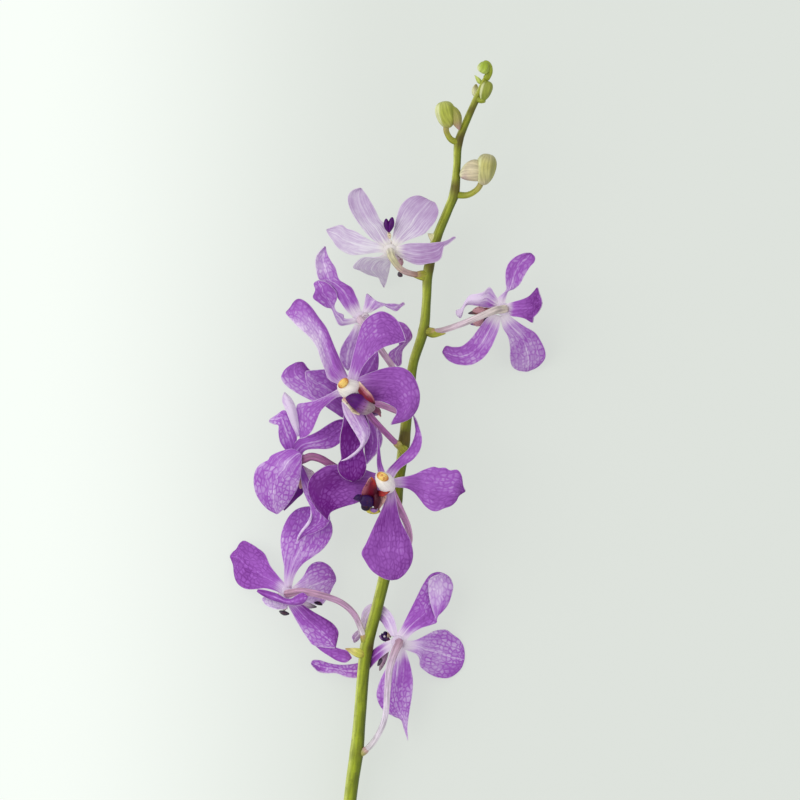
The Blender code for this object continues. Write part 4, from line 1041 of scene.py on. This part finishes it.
                  [(297, 453), (296, 445), (297, 437), (294, 425), (289, 415), (284, 410),
                   (277, 414.5)], (269.2, 419.6), (30, 29.8, 30, 29.7, 28.7, 27), white=0.0,
                  lift=(1.6, 0.2), tone=(-0.1, 0.1, 0.15, 0.5), halves=(0.0, -0.2)),
            petal([(289.5, 450), (294, 443.5), (300, 438.2), (310, 435), (319, 430.5),
                   (328, 424.5), (336, 420.3), (344, 419.3)],
                  [(300, 457), (306, 450.3), (316, 449), (327, 449), (335, 446.5), (342, 441),
                   (349, 433)], (351, 425), (30, 30.2, 30.5, 30.6, 30.6, 30.6), white=0.0,
                  lift=(0.2, 0.8), tone=(0.1, 0.1, -0.3, -0.6), halves=(-0.35, 0.15)),
            petal([(301.5, 463), (305, 470), (309, 479), (316, 491), (323, 503), (328, 511),
                   (330, 519), (326, 526), (316, 532), (306, 535.5), (301, 539)],
                  [(299, 464), (300.5, 475), (302, 486), (305, 496), (310, 507), (311.3, 516),
                   (308.5, 523), (302.5, 530), (299, 536)], (297, 541.8),
                  (30, 28.2, 26.6, 25.5, 25, 25), white=0.0, lift=(0.2, 1.2),
                  tone=(0.1, 0.0, -0.2, -0.2), halves=(0.0, 0.3)),
            petal([(311.3, 507), (312, 516), (309.6, 523.5), (303.6, 530.5), (299.4, 536.5)],
                  [(310.6, 506), (310.4, 516), (306.2, 524), (301, 530.8), (298, 536.5)],
                  (296.6, 541.5), (26, 27.4, 28, 27.6, 26), turned=True, white=0.0, dome=0.5,
                  tone=(0.8, 0.9, 0.85, 0.7), wave=0.2, cuts=(36, 12)),
            # this sliver's very dark tone is partly painted shade on a face that lies in deep shade
            petal([(299.5, 468), (301, 480), (303.6, 491.5), (297, 498.5), (290.5, 505)],
                  [(296, 468), (293, 482), (288, 495), (283, 506)], (284, 511),
                  (27, 25.4, 23, 21, 18, 15.5), white=0.0, tone=(0.0, -0.7, -1.3, -1.4, -1.4)),
        ]),
    "bloom_7": dict(
        hub=(386, 483, 40.0), face=(-0.3, 0.05, 0.95), lip=(-0.77, -0.62, -0.2), look="soft",
        pedicel=[(387, 565, 19), (399, 559, 20.6), (409, 544, 25), (408, 527.5, 29.8),
                 (400, 509, 33.6), (392, 492.5, 35.2)],
        stalk=[rgb(190, 134, 176), rgb(196, 140, 184), rgb(190, 130, 180), rgb(178, 122, 176)],
        columnPath=[(390.5, 489.5, 41), (388, 486, 44), (384.5, 481.5, 46.4),
                    (380, 476.5, 48), (376.5, 473, 47.8)],
        columnWidth=(2.8, 3.7, 3.9, 3.9, 3.2),
        cap=[(377.2, 473.8, 49.6), (382.5, 476.6, 50.8), (388.2, 479.8, 49.6)],
        capWidth=(1.75, 1.2),
        tongue=[(374, 505, 42.6), (370, 503, 44), (365, 500.5, 45), (359, 498, 45.4)],
        tongueWidth=(1.9, 2.6, 2.6, 2.0), tongueColours=("night", "indigo", "indigo", "indigo"),
        spur=[(367.5, 508.8, 40.2), (373, 511.4, 40), (380.5, 511.2, 40)],
        spurColours=("sulphur", "sulphur", "sulphur"), spurWidth=(1.0, 1.2, 1.3),
        bits=[([(375.5, 489, 43.4), (376.5, 498, 44), (375.8, 509.5, 43)], (1.1, 1.7, 1.2),
               "throat"),
              ([(370.5, 505, 43.4), (365, 506.2, 43.6), (361.3, 504.4, 43.4)], (1.6, 1.9, 1.2),
               "night"),
              ([(362.5, 498.6, 45.4), (358.5, 497.6, 45.6), (353.2, 498.8, 45.6)],
               (1.5, 1.3, 0.6), "indigo"),
              ([(370, 508, 41.4), (374, 510.2, 41.8), (378, 509.4, 41.4)], (0.7, 1.0, 0.6),
               "lilac")],
        lobes=[
            (petal([(364, 499), (361.6, 494), (363.3, 488.5), (366, 484), (368.3, 479.8)],
                   [(377.5, 497), (377.2, 490), (375.6, 483.5), (373.8, 479.4)], (371, 477),
                   (43, 45, 46.6, 47.6, 47.8), lift=(0.6, 1.0), dome=-0.5, wave=0.2,
                   cuts=(30, 22)),
             [("maroon", "rosewood", "rosewood", "bisque"),
              ("throat", "maroon", "maroon", "rosewood"),
              ("throat", "throat", "red", "orange")]),
            (petal([(377, 490), (383, 491.3)], [(377, 495), (383, 496.4)], (390, 491.4),
                   (43.8, 46, 47), lift=(0.4, 0.4), dome=0.2, wave=0.1, cuts=(20, 14)),
             [("maroon", "red", "red"), ("throat", "red", "orange"),
              ("throat", "red", "red")]),
            (petal([(387, 495.5), (385, 501), (381.5, 506)], [(378, 496), (377, 502), (377, 507)],
                   (378.8, 510), (42.4, 42.2, 41.4, 41), lift=(0.2, 0.2), dome=0.5, wave=0.2,
                   cuts=(24, 16)),
             [("bisque", "bisque", "rosewood"), ("rosewood", "rosewood", "throat")]),
        ],
        petals=[
            petal([(383, 491), (374, 494), (366, 497.5), (357, 503), (345, 506.5), (335, 510),
                   (330.3, 513.5)],
                  [(383, 475), (372, 472), (360, 468), (348, 466), (337, 464.8), (327, 465.6),
                   (318, 470.5), (311, 476.5), (307.8, 485), (309, 494), (313.5, 504),
                   (320.5, 513)], (328.5, 520.5), (40, 40.7, 41.3, 41.2, 39.8, 37), white=0.0,
                  lift=(1.0, -0.8), dome=1.4, tone=(0.1, -0.4, -0.85, -1.05, -1.1),
                  halves=(0.3, 0.1)),
            petal([(378, 474), (376.8, 462), (377.2, 450), (377.5, 440), (376.6, 432)],
                  [(386, 474), (382, 464), (380.5, 455), (379.5, 445), (378.5, 436)],
                  (377, 427.5), (40, 40.3, 40.7, 41, 41.5, 42), white=0.2, dome=0.5,
                  lift=(0.4, -0.6), tone=(-0.1, -0.4, -0.3, 0.0)),
            petal([(384, 475), (388, 469), (394, 463), (401, 456), (408, 449.5), (412.5, 442),
                   (415.3, 433), (415, 426)],
                  [(393, 479), (399, 470), (405, 465), (412, 460.5), (418, 454), (421.5, 446),
                   (422, 437), (419.5, 428), (416.5, 420)], (413, 414.5),
                  (40, 40.6, 41, 39.6, 37.4, 35), white=0.5, lift=(-0.4, 1.0),
                  tone=(0.1, -0.1, -0.15, -0.3), halves=(-0.35, 0.1)),
            petal([(392, 479), (399, 477.3), (408, 476), (416, 473.5), (423, 470), (430, 467.5),
                   (434, 466.5), (439, 467.8), (445, 467.4), (450, 470.2), (457, 469.6),
                   (461, 474), (462.5, 480), (463.5, 486)],
                  [(392, 487), (399, 487.5), (407, 488.5), (414, 492.5), (420, 499.5), (425, 506),
                   (431, 510.5), (437, 511.3), (444, 508.5), (451, 506), (456, 501.5),
                   (459, 496)], (466, 491.5), (40, 40.6, 41.6, 42.2, 42, 40), white=0.6,
                  lift=(0.6, 0.2), dome=1.2, tone=(0.1, -0.2, -0.1, -0.25, -0.7),
                  halves=(0.0, -0.15)),
            petal([(394, 488), (396, 498), (398, 510), (401, 521), (406, 531), (410.5, 540),
                   (413, 550), (413, 558), (410.5, 566), (405, 574), (398.5, 579)],
                  [(386, 492), (384, 503), (380.5, 512), (376, 521), (371, 532), (366, 543),
                   (361.3, 553), (365, 561), (371, 570), (378, 575.5), (385, 579)],
                  (391.5, 580), (40, 39.9, 39.2, 37, 34.6, 32), white=0.4, lift=(0.4, 0.6),
                  dome=1.0, tone=(0.0, -0.5, -0.4, -0.35, -0.45), halves=(-0.1, 0.15)),
        ]),
    "bloom_8": dict(
        hub=(288, 592, 20.0), face=(-0.3, -0.4, -0.87), lip=(-0.15, -0.88, 0.44),
        pedicel=[(366.5, 646, 15.2), (361, 629, 17.4), (354, 614, 21), (341, 602.5, 24.4),
                 (322.5, 595.5, 26.6), (303.5, 591.5, 26.2)],
        stalk=[rgb(224, 214, 220), rgb(192, 152, 186), rgb(188, 146, 180), rgb(186, 142, 172),
               rgb(190, 146, 170)],
        tongue=[(286, 600, 17), (285, 606, 15.6), (284, 611, 14.6)],
        stalkEnd=[(296, 592.2, 23.4), (286.5, 593.8, 21.8)],
        tongueWidth=(1.0, 1.2, 1.2, 0.9), tongueColours=("cream", "ivory", "ivory", "grey"),
        spur=[(300, 602.5, 15.4), (308, 605.5, 14.9), (317, 607, 15.4)],
        spurWidth=(0.8, 1.5, 1.5, 1.0), spurColours=("cream", "pearl", "pearl", "grey"),
        bits=[([(314, 602.6, 16.8), (318.5, 603.2, 17.2), (322.5, 605, 17)], (0.4, 0.75, 0.6),
               "night"),
              ([(279, 611, 14), (284, 613, 14), (289.5, 614, 14)], (0.7, 0.95, 0.7), "grey"),
              ([(282, 608.5, 14.8), (284.5, 606, 15.6), (287.5, 609, 15)], (0.6, 0.9, 0.6),
               "pearl")],
        lobes=[],
        petals=[
            petal([(284.5, 588), (284, 578), (284, 567), (282, 556), (280.5, 545), (281, 535),
                   (284, 525), (289, 516), (296, 509.5), (303, 507)],
                  [(292, 587), (294, 578), (298, 570), (304, 563), (312, 557.5), (321, 551),
                   (328, 543), (332.5, 533), (331.5, 523), (326, 514), (319, 508.5)],
                  (311, 506.4), (20, 20.2, 20.1, 19.7, 19, 18.2), lift=(0.8, 0.6), dome=1.0,
                  white=0.6, tone=(0.7, 0.3, 0.15, -0.1, -0.25)),
            petal([(284, 596), (275, 591), (265, 588.5), (256, 589.3), (247, 589.3), (240, 586),
                   (236, 581), (234, 574), (233, 565)],
                  [(289, 587), (282, 580), (276, 573), (270, 565), (265, 554), (258, 548),
                   (250, 543), (244, 540.5), (239.5, 543.5), (236, 549), (232.5, 552)],
                  (229.5, 556.5), (20, 16.7, 11.7, 6.8, 2.8, 0.5), lift=(0.4, 0.8), dome=1.2,
                  tone=(0.3, -0.2, -0.45, -0.45, -0.5), white=0.8),
            petal([(292, 587), (299, 581), (304, 575), (308, 567.5), (313, 563), (320, 561.5),
                   (327, 564), (332, 569), (335.5, 576)],
                  [(293, 596), (303, 600), (313, 604), (321, 605), (326, 600), (330, 593),
                   (333, 586.5)], (336, 581), (20, 18.4, 15.9, 13.2, 10.4, 7.4), dome=1.0,
                  tone=(0.7, 0.5, 0.1, -0.2), halves=(-0.2, 0.15)),
            petal([(296, 600), (305, 606), (314, 612), (323, 617), (331, 622), (336, 627),
                   (338.5, 632.5), (337.5, 639.5)],
                  [(287, 604), (292, 613), (297, 622), (303, 632), (308, 639), (312, 644.5),
                   (318, 646.5), (326, 647.7)], (335.5, 648),
                  (20, 18.6, 17.1, 15.5, 14.6, 13.6), dome=1.0, lift=(-0.4, 0.8), white=0.4,
                  tone=(0.0, -0.1, -0.1, -0.1), halves=(-0.6, 0.3)),
            petal([(322, 643.4), (328, 645), (334, 646.6), (341, 649), (347.5, 651)],
                  [(312.6, 643.6), (321, 650.8), (329, 656), (337, 660.8), (345.5, 662.6)],
                  (352, 658), (14.2, 13.6, 12.6, 12.4), turned=True, white=0.0, dome=0.5,
                  wave=0.3, tone=(0.1, -0.1, -0.25), cuts=(32, 16)),
            petal([(290, 599), (288.5, 605), (285, 608.7)],
                  [(268, 595.5), (262, 598.5), (264.5, 603.5), (269.5, 607)], (277, 609.3),
                  (20, 23.5, 27, 29.5), white=0.0, tone=(0.5, 0.8, 0.85), dome=0.4),
            petal([(256.8, 592), (262, 595.5), (270, 599.5), (279, 602.3), (288, 604.8),
                   (296, 605.6), (303.5, 603.5)],
                  [(258, 589), (264, 589.8), (271, 591.6), (278, 594), (285, 598), (291, 598.6),
                   (297, 595), (303, 592.6)], (308.3, 596.8),
                  (24.6, 26.8, 28.6, 29.8, 30.6, 30.4), turned=True, white=0.0, dome=0.9,
                  lift=((0, -1.6, -2.4, -1.6, 0), -0.6),
                  tone=(-0.5, -0.3, -0.3, -0.4), cuts=(50, 14)),
        ]),
    "bloom_9": dict(
        hub=(398, 642, 20.0), face=(-0.15, 0.1, -0.98), lip=(-0.94, 0.2, 0.14),
        pedicel=[(357, 755, 10.4), (367.5, 748.5, 12), (377, 736.5, 15.4), (385, 717.5, 19.6),
                 (387.5, 690, 23.6), (389.5, 668.5, 25.8), (395, 651.5, 25.8)],
        stalk=[rgb(214, 206, 212), rgb(216, 204, 220), rgb(206, 186, 208), rgb(172, 132, 152)],
        socket=[rgb(140, 150, 70), rgb(170, 166, 96), rgb(196, 160, 160)],
        tongue=[(390, 640, 17.2), (384, 638, 15.6), (379, 636, 14.2)],
        tongueWidth=(1.0, 1.3, 1.2, 0.8),
        spur=[(386, 650, 14.6), (383.5, 660, 13.8), (379.5, 671, 13)],
        spurWidth=(0.9, 1.3, 1.3, 1.0), spurColours=("rose", "mauve", "ash"),
        bits=[([(382, 639, 15.4), (385, 634, 15.6), (384, 631.5, 15.4)], (0.9, 1.4, 0.9), "indigo"),
              ([(384, 637.5, 16.8), (385, 635.4, 17.1)], (0.35, 0.5, 0.35), "pearl"),
              ([(386, 655, 14), (381, 661, 14), (377.5, 666, 13.6)], (0.7, 1.0, 0.7), "grey")],
        petals=[
            petal([(395, 637), (402, 626), (408, 614), (413, 604), (418, 594), (423, 584),
                   (429, 575.5), (435, 572.3), (441, 572.3)],
                  [(404, 643), (413, 633), (422, 628), (430, 625.5), (437, 622.5), (436, 617),
                   (441, 613.5), (447, 606), (451, 596), (452.3, 588), (452, 581)],
                  (448, 575.5), (20, 18.7, 17.1, 15.1, 13, 11), lift=(0.6, 0.6),
                  tone=(0.5, -0.05, -0.1, 0.1), halves=(-0.1, 0.1)),
            petal([(436.5, 621), (431.5, 607), (428.5, 592), (429.5, 579)],
                  [(437, 616.5), (446.5, 607), (451.5, 595), (452.5, 583)], (442, 572.6),
                  (17, 17.4, 16.4, 14.4, 12.4), turned=True, white=0.0, lift=(0.5, -1.0),
                  dome=0.8, tone=(0.1, 0.45, 0.6, 0.45), halves=(0.2, -0.4), cuts=(40, 18)),
            petal([(405, 640), (413, 640.5), (420, 638), (427, 634.5), (434, 631), (441, 629.5),
                   (447, 630), (453, 634.5), (459, 639), (463, 645), (464.5, 652)],
                  [(403, 649), (410, 651.5), (416, 654), (419.5, 659), (420, 666), (425, 671),
                   (432, 675.5), (440, 678), (449, 677.8), (457, 673), (462, 667)],
                  (464.3, 659.5), (20, 16, 10.1, 4.2, 1.2, 0.6), dome=1.2,
                  tone=(0.9, 0.5, 0.3, 0.1, -0.15), halves=(-0.1, -0.1)),
            petal([(404, 646), (408, 657), (411, 668), (413, 680), (412.5, 692), (410.5, 705),
                   (408.5, 717), (407.5, 728)],
                  [(393, 650), (388, 664), (382, 676), (378, 686), (376.5, 696), (380, 706),
                   (386, 712), (394, 716.5), (401, 720), (404, 729)], (408, 741.5),
                  (20, 17.8, 15.3, 13.2, 12, 11), lift=(0.8, 0.2), dome=1.2,
                  tone=(0.6, 0.25, 0.2, 0.35, 0.5), halves=(-0.1, -0.1)),
            petal([(394, 648), (384, 655), (374, 664), (364, 675.5), (356, 678), (346, 677),
                   (336, 673.3), (327, 673.3), (318, 671.5)],
                  [(393, 639), (383, 643), (373, 650), (362, 661), (350, 664.3), (338, 664.6),
                   (328, 662.8), (320, 660.2), (313, 660)], (310.6, 664),
                  (20, 15.2, 9.7, 7.4, 7.8, 10.4), lift=(1.4, 0.2),
                  tone=(0.8, -0.3, 0.0, 0.1, -0.15), halves=(0.2, 0.1)),
            petal([(391, 636), (386, 629), (381.5, 622), (376, 617.5), (371, 619), (369, 626),
                   (367, 632), (361.5, 635.5), (358.5, 640)],
                  [(398, 637), (396.5, 627), (393.5, 617), (388, 609.5), (381, 604.5),
                   (373, 603.5), (366, 606.5), (362, 613), (361, 621), (361.5, 627.5),
                   (356, 631.5), (352, 636.5)], (354, 643.3), (20, 16.8, 13.3, 10.6, 10, 11),
                  lift=(-0.4, 1.2), white=0.6, tone=(0.7, 0.75, 0.9, 0.5), halves=(-0.25, 0.1)),
        ]),
}


def makePetals(name, bloom):
    shell = Shell()
    hub, face = bloomFrame(bloom)[:2]
    for shape in bloom["petals"]:
        addBlade(shell, shape, face.z > 0)
    reach, radius = face * hubShape["height"] * hubShape["reach"], hubShape["radius"]
    disc = addFleshy(shell, [hub - reach, hub, hub + reach], radius, radius, hubShape["up"],
                     [unpainted, unpainted], around=24, rings=14)
    for vert in disc:
        vert[shell.along] = 0.0
        vert[shell.tone], vert[shell.claw] = hubShape["tone"], hubShape["white"]
    shell.piece(f"{name}_petals", petalSkins[bloom.get("look", "fresh")], f"{name}_tepals")


lipShape = {
    "colours": {
        "maroon": rgb(118, 12, 44), "wine": rgb(96, 20, 66), "red": rgb(156, 40, 38),
        "throat": rgb(64, 0, 28), "orange": rgb(206, 104, 50), "brown": rgb(136, 70, 52),
        "plum": rgb(76, 0, 100), "indigo": rgb(44, 8, 72), "night": rgb(30, 8, 40),
        "damson": rgb(118, 58, 92), "lilac": rgb(150, 104, 168), "dusk": rgb(124, 72, 134),
        "mauve": rgb(164, 134, 156), "ash": rgb(154, 132, 142), "rose": rgb(168, 116, 128),
        "rosewood": rgb(164, 94, 112), "bisque": rgb(198, 156, 146), "tan": rgb(206, 166, 150),
        # the pale rose on this line, after ivory, is painted light for lip bits that lie in shade
        "pearl": rgb(218, 204, 214), "ivory": rgb(240, 234, 222), "litRose": rgb(198, 148, 156),
        "cream": rgb(232, 218, 184), "sulphur": rgb(200, 188, 84), "grey": rgb(78, 70, 82),
    },
    # for the blooms that give none of their own, in millimetres
    "plainTongue": ((2.2, 3.4), (5.2, 6.0), (7.4, 8.0), (9.4, 8.6)),    # outwards, lipwards
    "plainLobe": ((2.0, 1.8), (2.8, 4.6)),                              # aside, outwards
    "tongueWidth": (1.3, 1.8, 2.1, 1.9, 1.4), "spurWidth": (1.3, 1.35, 1.2, 0.9),
    "tongueColours": ("wine", "indigo", "indigo", "lilac", "dusk"),
    "spurColours": ("rose", "brown", "grey"),
    # for every bloom
    "tongueDepth": 0.6,                         # share of its width
    "spurRoot": 0.3, "lobeRoot": 0.4,           # how far along the first stretch of the tongue
    "lobeAside": 0.6, "lobeWidth": (0.9, 1.7, 1.9, 1.2), "lobeDepth": (0.6, 0.6, 0.5, 0.4),
    "lobeColours": ("cream", "maroon", "wine"), "lobeThickness": 0.8,
}


def swatches(names):
    return [lipShape["colours"][name] for name in names]


def addSideLobes(shell, hub, face, lip, tongue):
    wing = lip.cross(face)
    outwards, lipwards = lipShape["plainTongue"][0]
    base = hub + face * outwards + lip * lipwards
    for turn in (-1, 1):
        root = tongue[0].lerp(tongue[1], lipShape["lobeRoot"])
        root += wing * turn * lipShape["lobeAside"]
        ends = [base + wing * turn * aside + face * out for aside, out in lipShape["plainLobe"]]
        addFleshy(shell, [root] + ends, lipShape["lobeWidth"], lipShape["lobeDepth"], wing * turn,
                  swatches(lipShape["lobeColours"]), around=24, rings=20)


def makeLip(name, bloom):
    shell = Shell()
    hub, face, lip = bloomFrame(bloom)
    own = {**lipShape, **bloom}
    tongue = planPath(bloom["tongue"]) if "tongue" in bloom else [
        hub + face * out + lip * lipwards for out, lipwards in lipShape["plainTongue"]]
    addFleshy(shell, tongue, own["tongueWidth"],
              [width * lipShape["tongueDepth"] for width in own["tongueWidth"]], face,
              swatches(own["tongueColours"]), around=30, rings=30, ribs=5, ribDepth=0.03)
    root = tongue[0].lerp(tongue[1], lipShape["spurRoot"])
    addFleshy(shell, [root] + planPath(bloom["spur"]), own["spurWidth"], own["spurWidth"], lip,
              swatches(own["spurColours"]), around=20, rings=20)
    for places, width, colour in bloom.get("bits", []):
        addFleshy(shell, planPath(places), width, width, upwards, swatches((colour, colour)),
                  around=18, rings=16, ribs=4, ribDepth=0.06)
    for shape, rows in bloom.get("lobes", []):
        addBlade(shell, shape, True, lipShape["lobeThickness"], [swatches(row) for row in rows],
                 floor=0.0)
    if "lobes" not in bloom:
        addSideLobes(shell, hub, face, lip, tongue)
    shell.piece(f"{name}_lipLobes", flesh["lip flesh"], f"{name}_lip")


columnShape = {
    # millimetres; the places are measured along the column from its foot
    "places": (-1.2, 2.8, 5.9), "columnWidth": (2.25, 2.15, 2.45, 2.7, 2.625),
    "depth": 0.92,                              # share of its width
    "capPlaces": (5.1, 6.1, 7.1), "capWidth": (2.1, 1.806),
    "lean": (6, 1.6),                           # outwards and away from the lip
    "setBack": 0.5, "tiltRoom": 1.75,
    "white": [rgb(214, 196, 216), rgb(226, 214, 220), rgb(234, 228, 224), rgb(240, 234, 216)],
    "amber": [rgb(160, 72, 28), rgb(208, 134, 54), rgb(236, 198, 108), rgb(234, 194, 100),
              rgb(206, 128, 50), rgb(160, 72, 28)],
}


def makeColumn(name, bloom):
    hub, face, lip = bloomFrame(bloom)
    own = {**columnShape, **bloom}
    if "columnPath" in bloom:
        path, capPath, capTurn = planPath(bloom["columnPath"]), planPath(bloom["cap"]), upwards
    else:
        outwards, back = columnShape["lean"]
        lean = Vector(bloom.get("column", face * outwards - lip * back)).normalized()
        room = columnShape["tiltRoom"] * math.sin(lean.angle(face)) + hubShape["frontGap"]
        foot = hub + face * (hubShape["height"] / 2 + room) - lip * columnShape["setBack"]
        path = [foot + lean * place for place in columnShape["places"]]
        capPath, capTurn = [foot + lean * place for place in columnShape["capPlaces"]], -lip
    shell = Shell()
    addFleshy(shell, path, own["columnWidth"],
              [width * columnShape["depth"] for width in own["columnWidth"]], -lip,
              columnShape["white"], around=30, rings=26)
    shell.piece(f"{name}_columnBody", flesh["column flesh"], f"{name}_column")
    shell = Shell()
    addFleshy(shell, capPath, *own["capWidth"], capTurn, columnShape["amber"], around=30,
              rings=22)
    shell.piece(f"{name}_antherCap", flesh["anther cap wax"], f"{name}_cap")


# Buds

buds = {
    "bud_1": dict(pedicel=[(456.5, 195, 28.6), (467.5, 195, 29.2), (477, 189.5, 30.4),
                           (482, 181.5, 31.4)],
                  foot=(482.5, 185, 32), tip=(488.5, 154, 33), half=(3.8, 4.0),
                  lobe=[(484, 168, 32.4), (472, 171, 32), (460, 176.5, 31)],
                  lobeHalf=(5.7, 4.2, 2.8),
                  body=[rgb(186, 176, 140), rgb(184, 180, 118), rgb(176, 172, 104),
                        rgb(184, 178, 132)]),
    "bud_2": dict(pedicel=[(459, 142.5, 30), (451, 139.5, 31), (446.5, 132, 32.2), (446, 126, 33)],
                  foot=(448.5, 128, 33), tip=(443.2, 101.5, 34.4), half=(3.7, 3.5),
                  lobe=[(449, 106, 34), (455, 117, 33.6), (459.5, 130, 33)],
                  lobeHalf=(2.8, 2.6, 1.3),
                  lobeColours=[rgb(158, 164, 70), rgb(160, 156, 84), rgb(176, 140, 130)],
                  body=[rgb(160, 158, 88), rgb(164, 170, 70), rgb(160, 168, 66),
                        rgb(170, 176, 90)]),
    "bud_3": dict(pedicel=[(477.5, 99, 31.6), (481.5, 100.5, 32.8), (484.5, 99.5, 33.4)],
                  foot=(482.5, 100.5, 33), tip=(489, 81.5, 35.2), half=(2.2, 1.9),
                  lobe=[(480, 98.5, 29.6), (475.8, 92, 29.4), (476, 84, 29.6)],
                  lobeHalf=(1.6, 1.6, 1.1),
                  lobeColours=[rgb(170, 176, 96), rgb(198, 196, 150), rgb(150, 140, 84)],
                  stalk=[rgb(136, 146, 44), rgb(146, 156, 52)],
                  body=[rgb(126, 140, 46), rgb(140, 150, 56), rgb(136, 144, 56)]),
    "bud_4": dict(pedicel=[(486, 79, 32.3), (489.5, 73, 33.2), (489.5, 67, 34.2),
                           (487, 63.5, 34.8), (484, 63.5, 35)],
                  foot=(487.5, 62, 35), tip=(480.6, 72.5, 35.2), half=(2.3, 2.1),
                  stalk=[rgb(146, 156, 44), rgb(150, 164, 50)],
                  body=[rgb(150, 170, 52), rgb(160, 182, 60), rgb(176, 192, 96)]),
}
budShape = {
    # from foot to tip, as shares of the bud's halves
    "width": (0.66, 0.94, 1.06, 1), "depth": (0.75, 1, 1.05, 1), "blunt": 2.9,
    "lobeDepth": 0.8,                           # share of its width
    "stalkRadii": (1.45, 1.25, 1.15, 1.2),      # millimetres, from the stem to the bud
    "stalkSamples": 20,
    "lobeColours": [rgb(192, 184, 146), rgb(202, 190, 158), rgb(186, 160, 160)],
    "stalk": [rgb(138, 148, 40), rgb(160, 162, 62), rgb(168, 156, 92)],
    "sunny": rgb(226, 228, 178), "sunSide": Vector((-2.6, 0, 0)), "sunStart": -1.4,
    "sunless": rgb(110, 116, 40), "shadeSide": Vector((1.1, 0, 0)), "shadeStart": -0.5,
    "mostLight": 0.7,
}


def makeBud(name, bud):
    shell = Shell()
    foot, tip = plan(*bud["foot"]), plan(*bud["tip"])
    wide, deep = bud["half"]
    addFleshy(shell, [foot, foot.lerp(tip, 0.5), tip],
              [wide * share for share in budShape["width"]],
              [deep * share for share in budShape["depth"]], upwards, bud["body"], around=42,
              rings=32, ribs=6, ribDepth=0.05, blunt=budShape["blunt"])
    if "lobe" in bud:
        half = bud["lobeHalf"]
        addFleshy(shell, planPath(bud["lobe"]), half, [h * budShape["lobeDepth"] for h in half],
                  upwards, bud.get("lobeColours", budShape["lobeColours"]), around=32, rings=24,
                  ribs=5, ribDepth=0.03)
    # painted light on the left side of each bud and painted shade on its right
    shell.mesh.normal_update()
    most = budShape["mostLight"]
    for vert in shell.mesh.verts:
        lit = clamp(budShape["sunStart"] + vert.normal.dot(budShape["sunSide"]), high=most)
        away = clamp(budShape["shadeStart"] + vert.normal.dot(budShape["shadeSide"]), high=most)
        shell.tint(vert, (budShape["sunny"], lit), (budShape["sunless"], away))
    shell.piece(f"{name}_body", flesh["bud skin"], name)


makeStem()
print("stem made")
for name, bloom in blooms.items():
    makePetals(name, bloom)
    makeStalk(name, bloom)
    makeLip(name, bloom)
    makeColumn(name, bloom)
    print(name, "made")
for name, bud in buds.items():
    makeBud(name, bud)
print("buds made")


# Floor, light and camera

studio = {
    # the floor is a card that glows with painted light, brighter on the left; sizes in metres
    "floorSize": 12.0, "floorDrop": 0.0002, "card": rgb(112, 114, 112),
    "glowLeft": rgb(226, 232, 226), "glowRight": rgb(196, 201, 195), "glowChange": (-0.15, 0.01),
    "world": rgb(250, 250, 250), "worldStrength": 0.63,
    # place, size and watts
    "lamps": {"leftSoftbox": ((-0.95, 0.35, 1.25), 1.5, 14.0),
              "rightFill": ((1.1, -0.2, 1.3), 1.4, 4.0)},
    "lampColour": (1.0, 0.99, 0.97),
    "cameraDistance": 2.5, "frameWidth": 0.320, "sensorWidth": 36.0,
    "lookAt": (0.0, 0.0, 25.0),                 # on the plan, in millimetres
}


def makeFloor():
    sheet = bmesh.new()
    bmesh.ops.create_grid(sheet, x_segments=8, y_segments=8, size=studio["floorSize"] / 2)
    bmesh.ops.translate(sheet, verts=sheet.verts[:], vec=(0, 0, -studio["floorDrop"]))
    mesh = bpy.data.meshes.new("floor")
    sheet.to_mesh(mesh)
    sheet.free()
    floor = bpy.data.objects.new("floor", mesh)
    bpy.context.scene.collection.objects.link(floor)
    material, tree, shader = newMaterial("floor card", {
        "Roughness": 0.85, "Emission Strength": 1.0, "Base Color": studio["card"]})
    place = split(tree, addNode(tree, "ShaderNodeTexCoord").outputs["Object"])
    feed(tree, shader.inputs["Emission Color"],
         mixColour(tree, ramp(tree, place["X"], *studio["glowChange"]), studio["glowLeft"],
                   studio["glowRight"]))
    mesh.materials.append(material)


def makeLight():
    world = bpy.data.worlds.new("studio")
    world.use_nodes = True
    back = world.node_tree.nodes["Background"]
    back.inputs["Color"].default_value = studio["world"]
    back.inputs["Strength"].default_value = studio["worldStrength"]
    bpy.context.scene.world = world
    for title, (place, size, power) in studio["lamps"].items():
        lamp = bpy.data.lights.new(title, "AREA")
        lamp.size, lamp.energy, lamp.color = size, power, studio["lampColour"]
        holder = bpy.data.objects.new(title, lamp)
        holder.location = place
        holder.rotation_euler = (-Vector(place)).to_track_quat("-Z", "Y").to_euler()
        bpy.context.scene.collection.objects.link(holder)


def makeCamera():
    lens = bpy.data.cameras.new("camera")
    lens.sensor_width = studio["sensorWidth"]
    lens.lens = studio["sensorWidth"] * studio["cameraDistance"] / studio["frameWidth"]
    lens.clip_start, lens.clip_end = 0.05, 50.0
    camera = bpy.data.objects.new("camera", lens)
    target = (Vector(studio["lookAt"]) - sprayMiddle) * metres
    camera.location = target + Vector((0, 0, studio["cameraDistance"]))
    bpy.context.scene.collection.objects.link(camera)
    bpy.context.scene.camera = camera


makeFloor()
makeLight()
makeCamera()
bpy.context.scene.view_settings.view_transform = "Standard"
print("studio made")
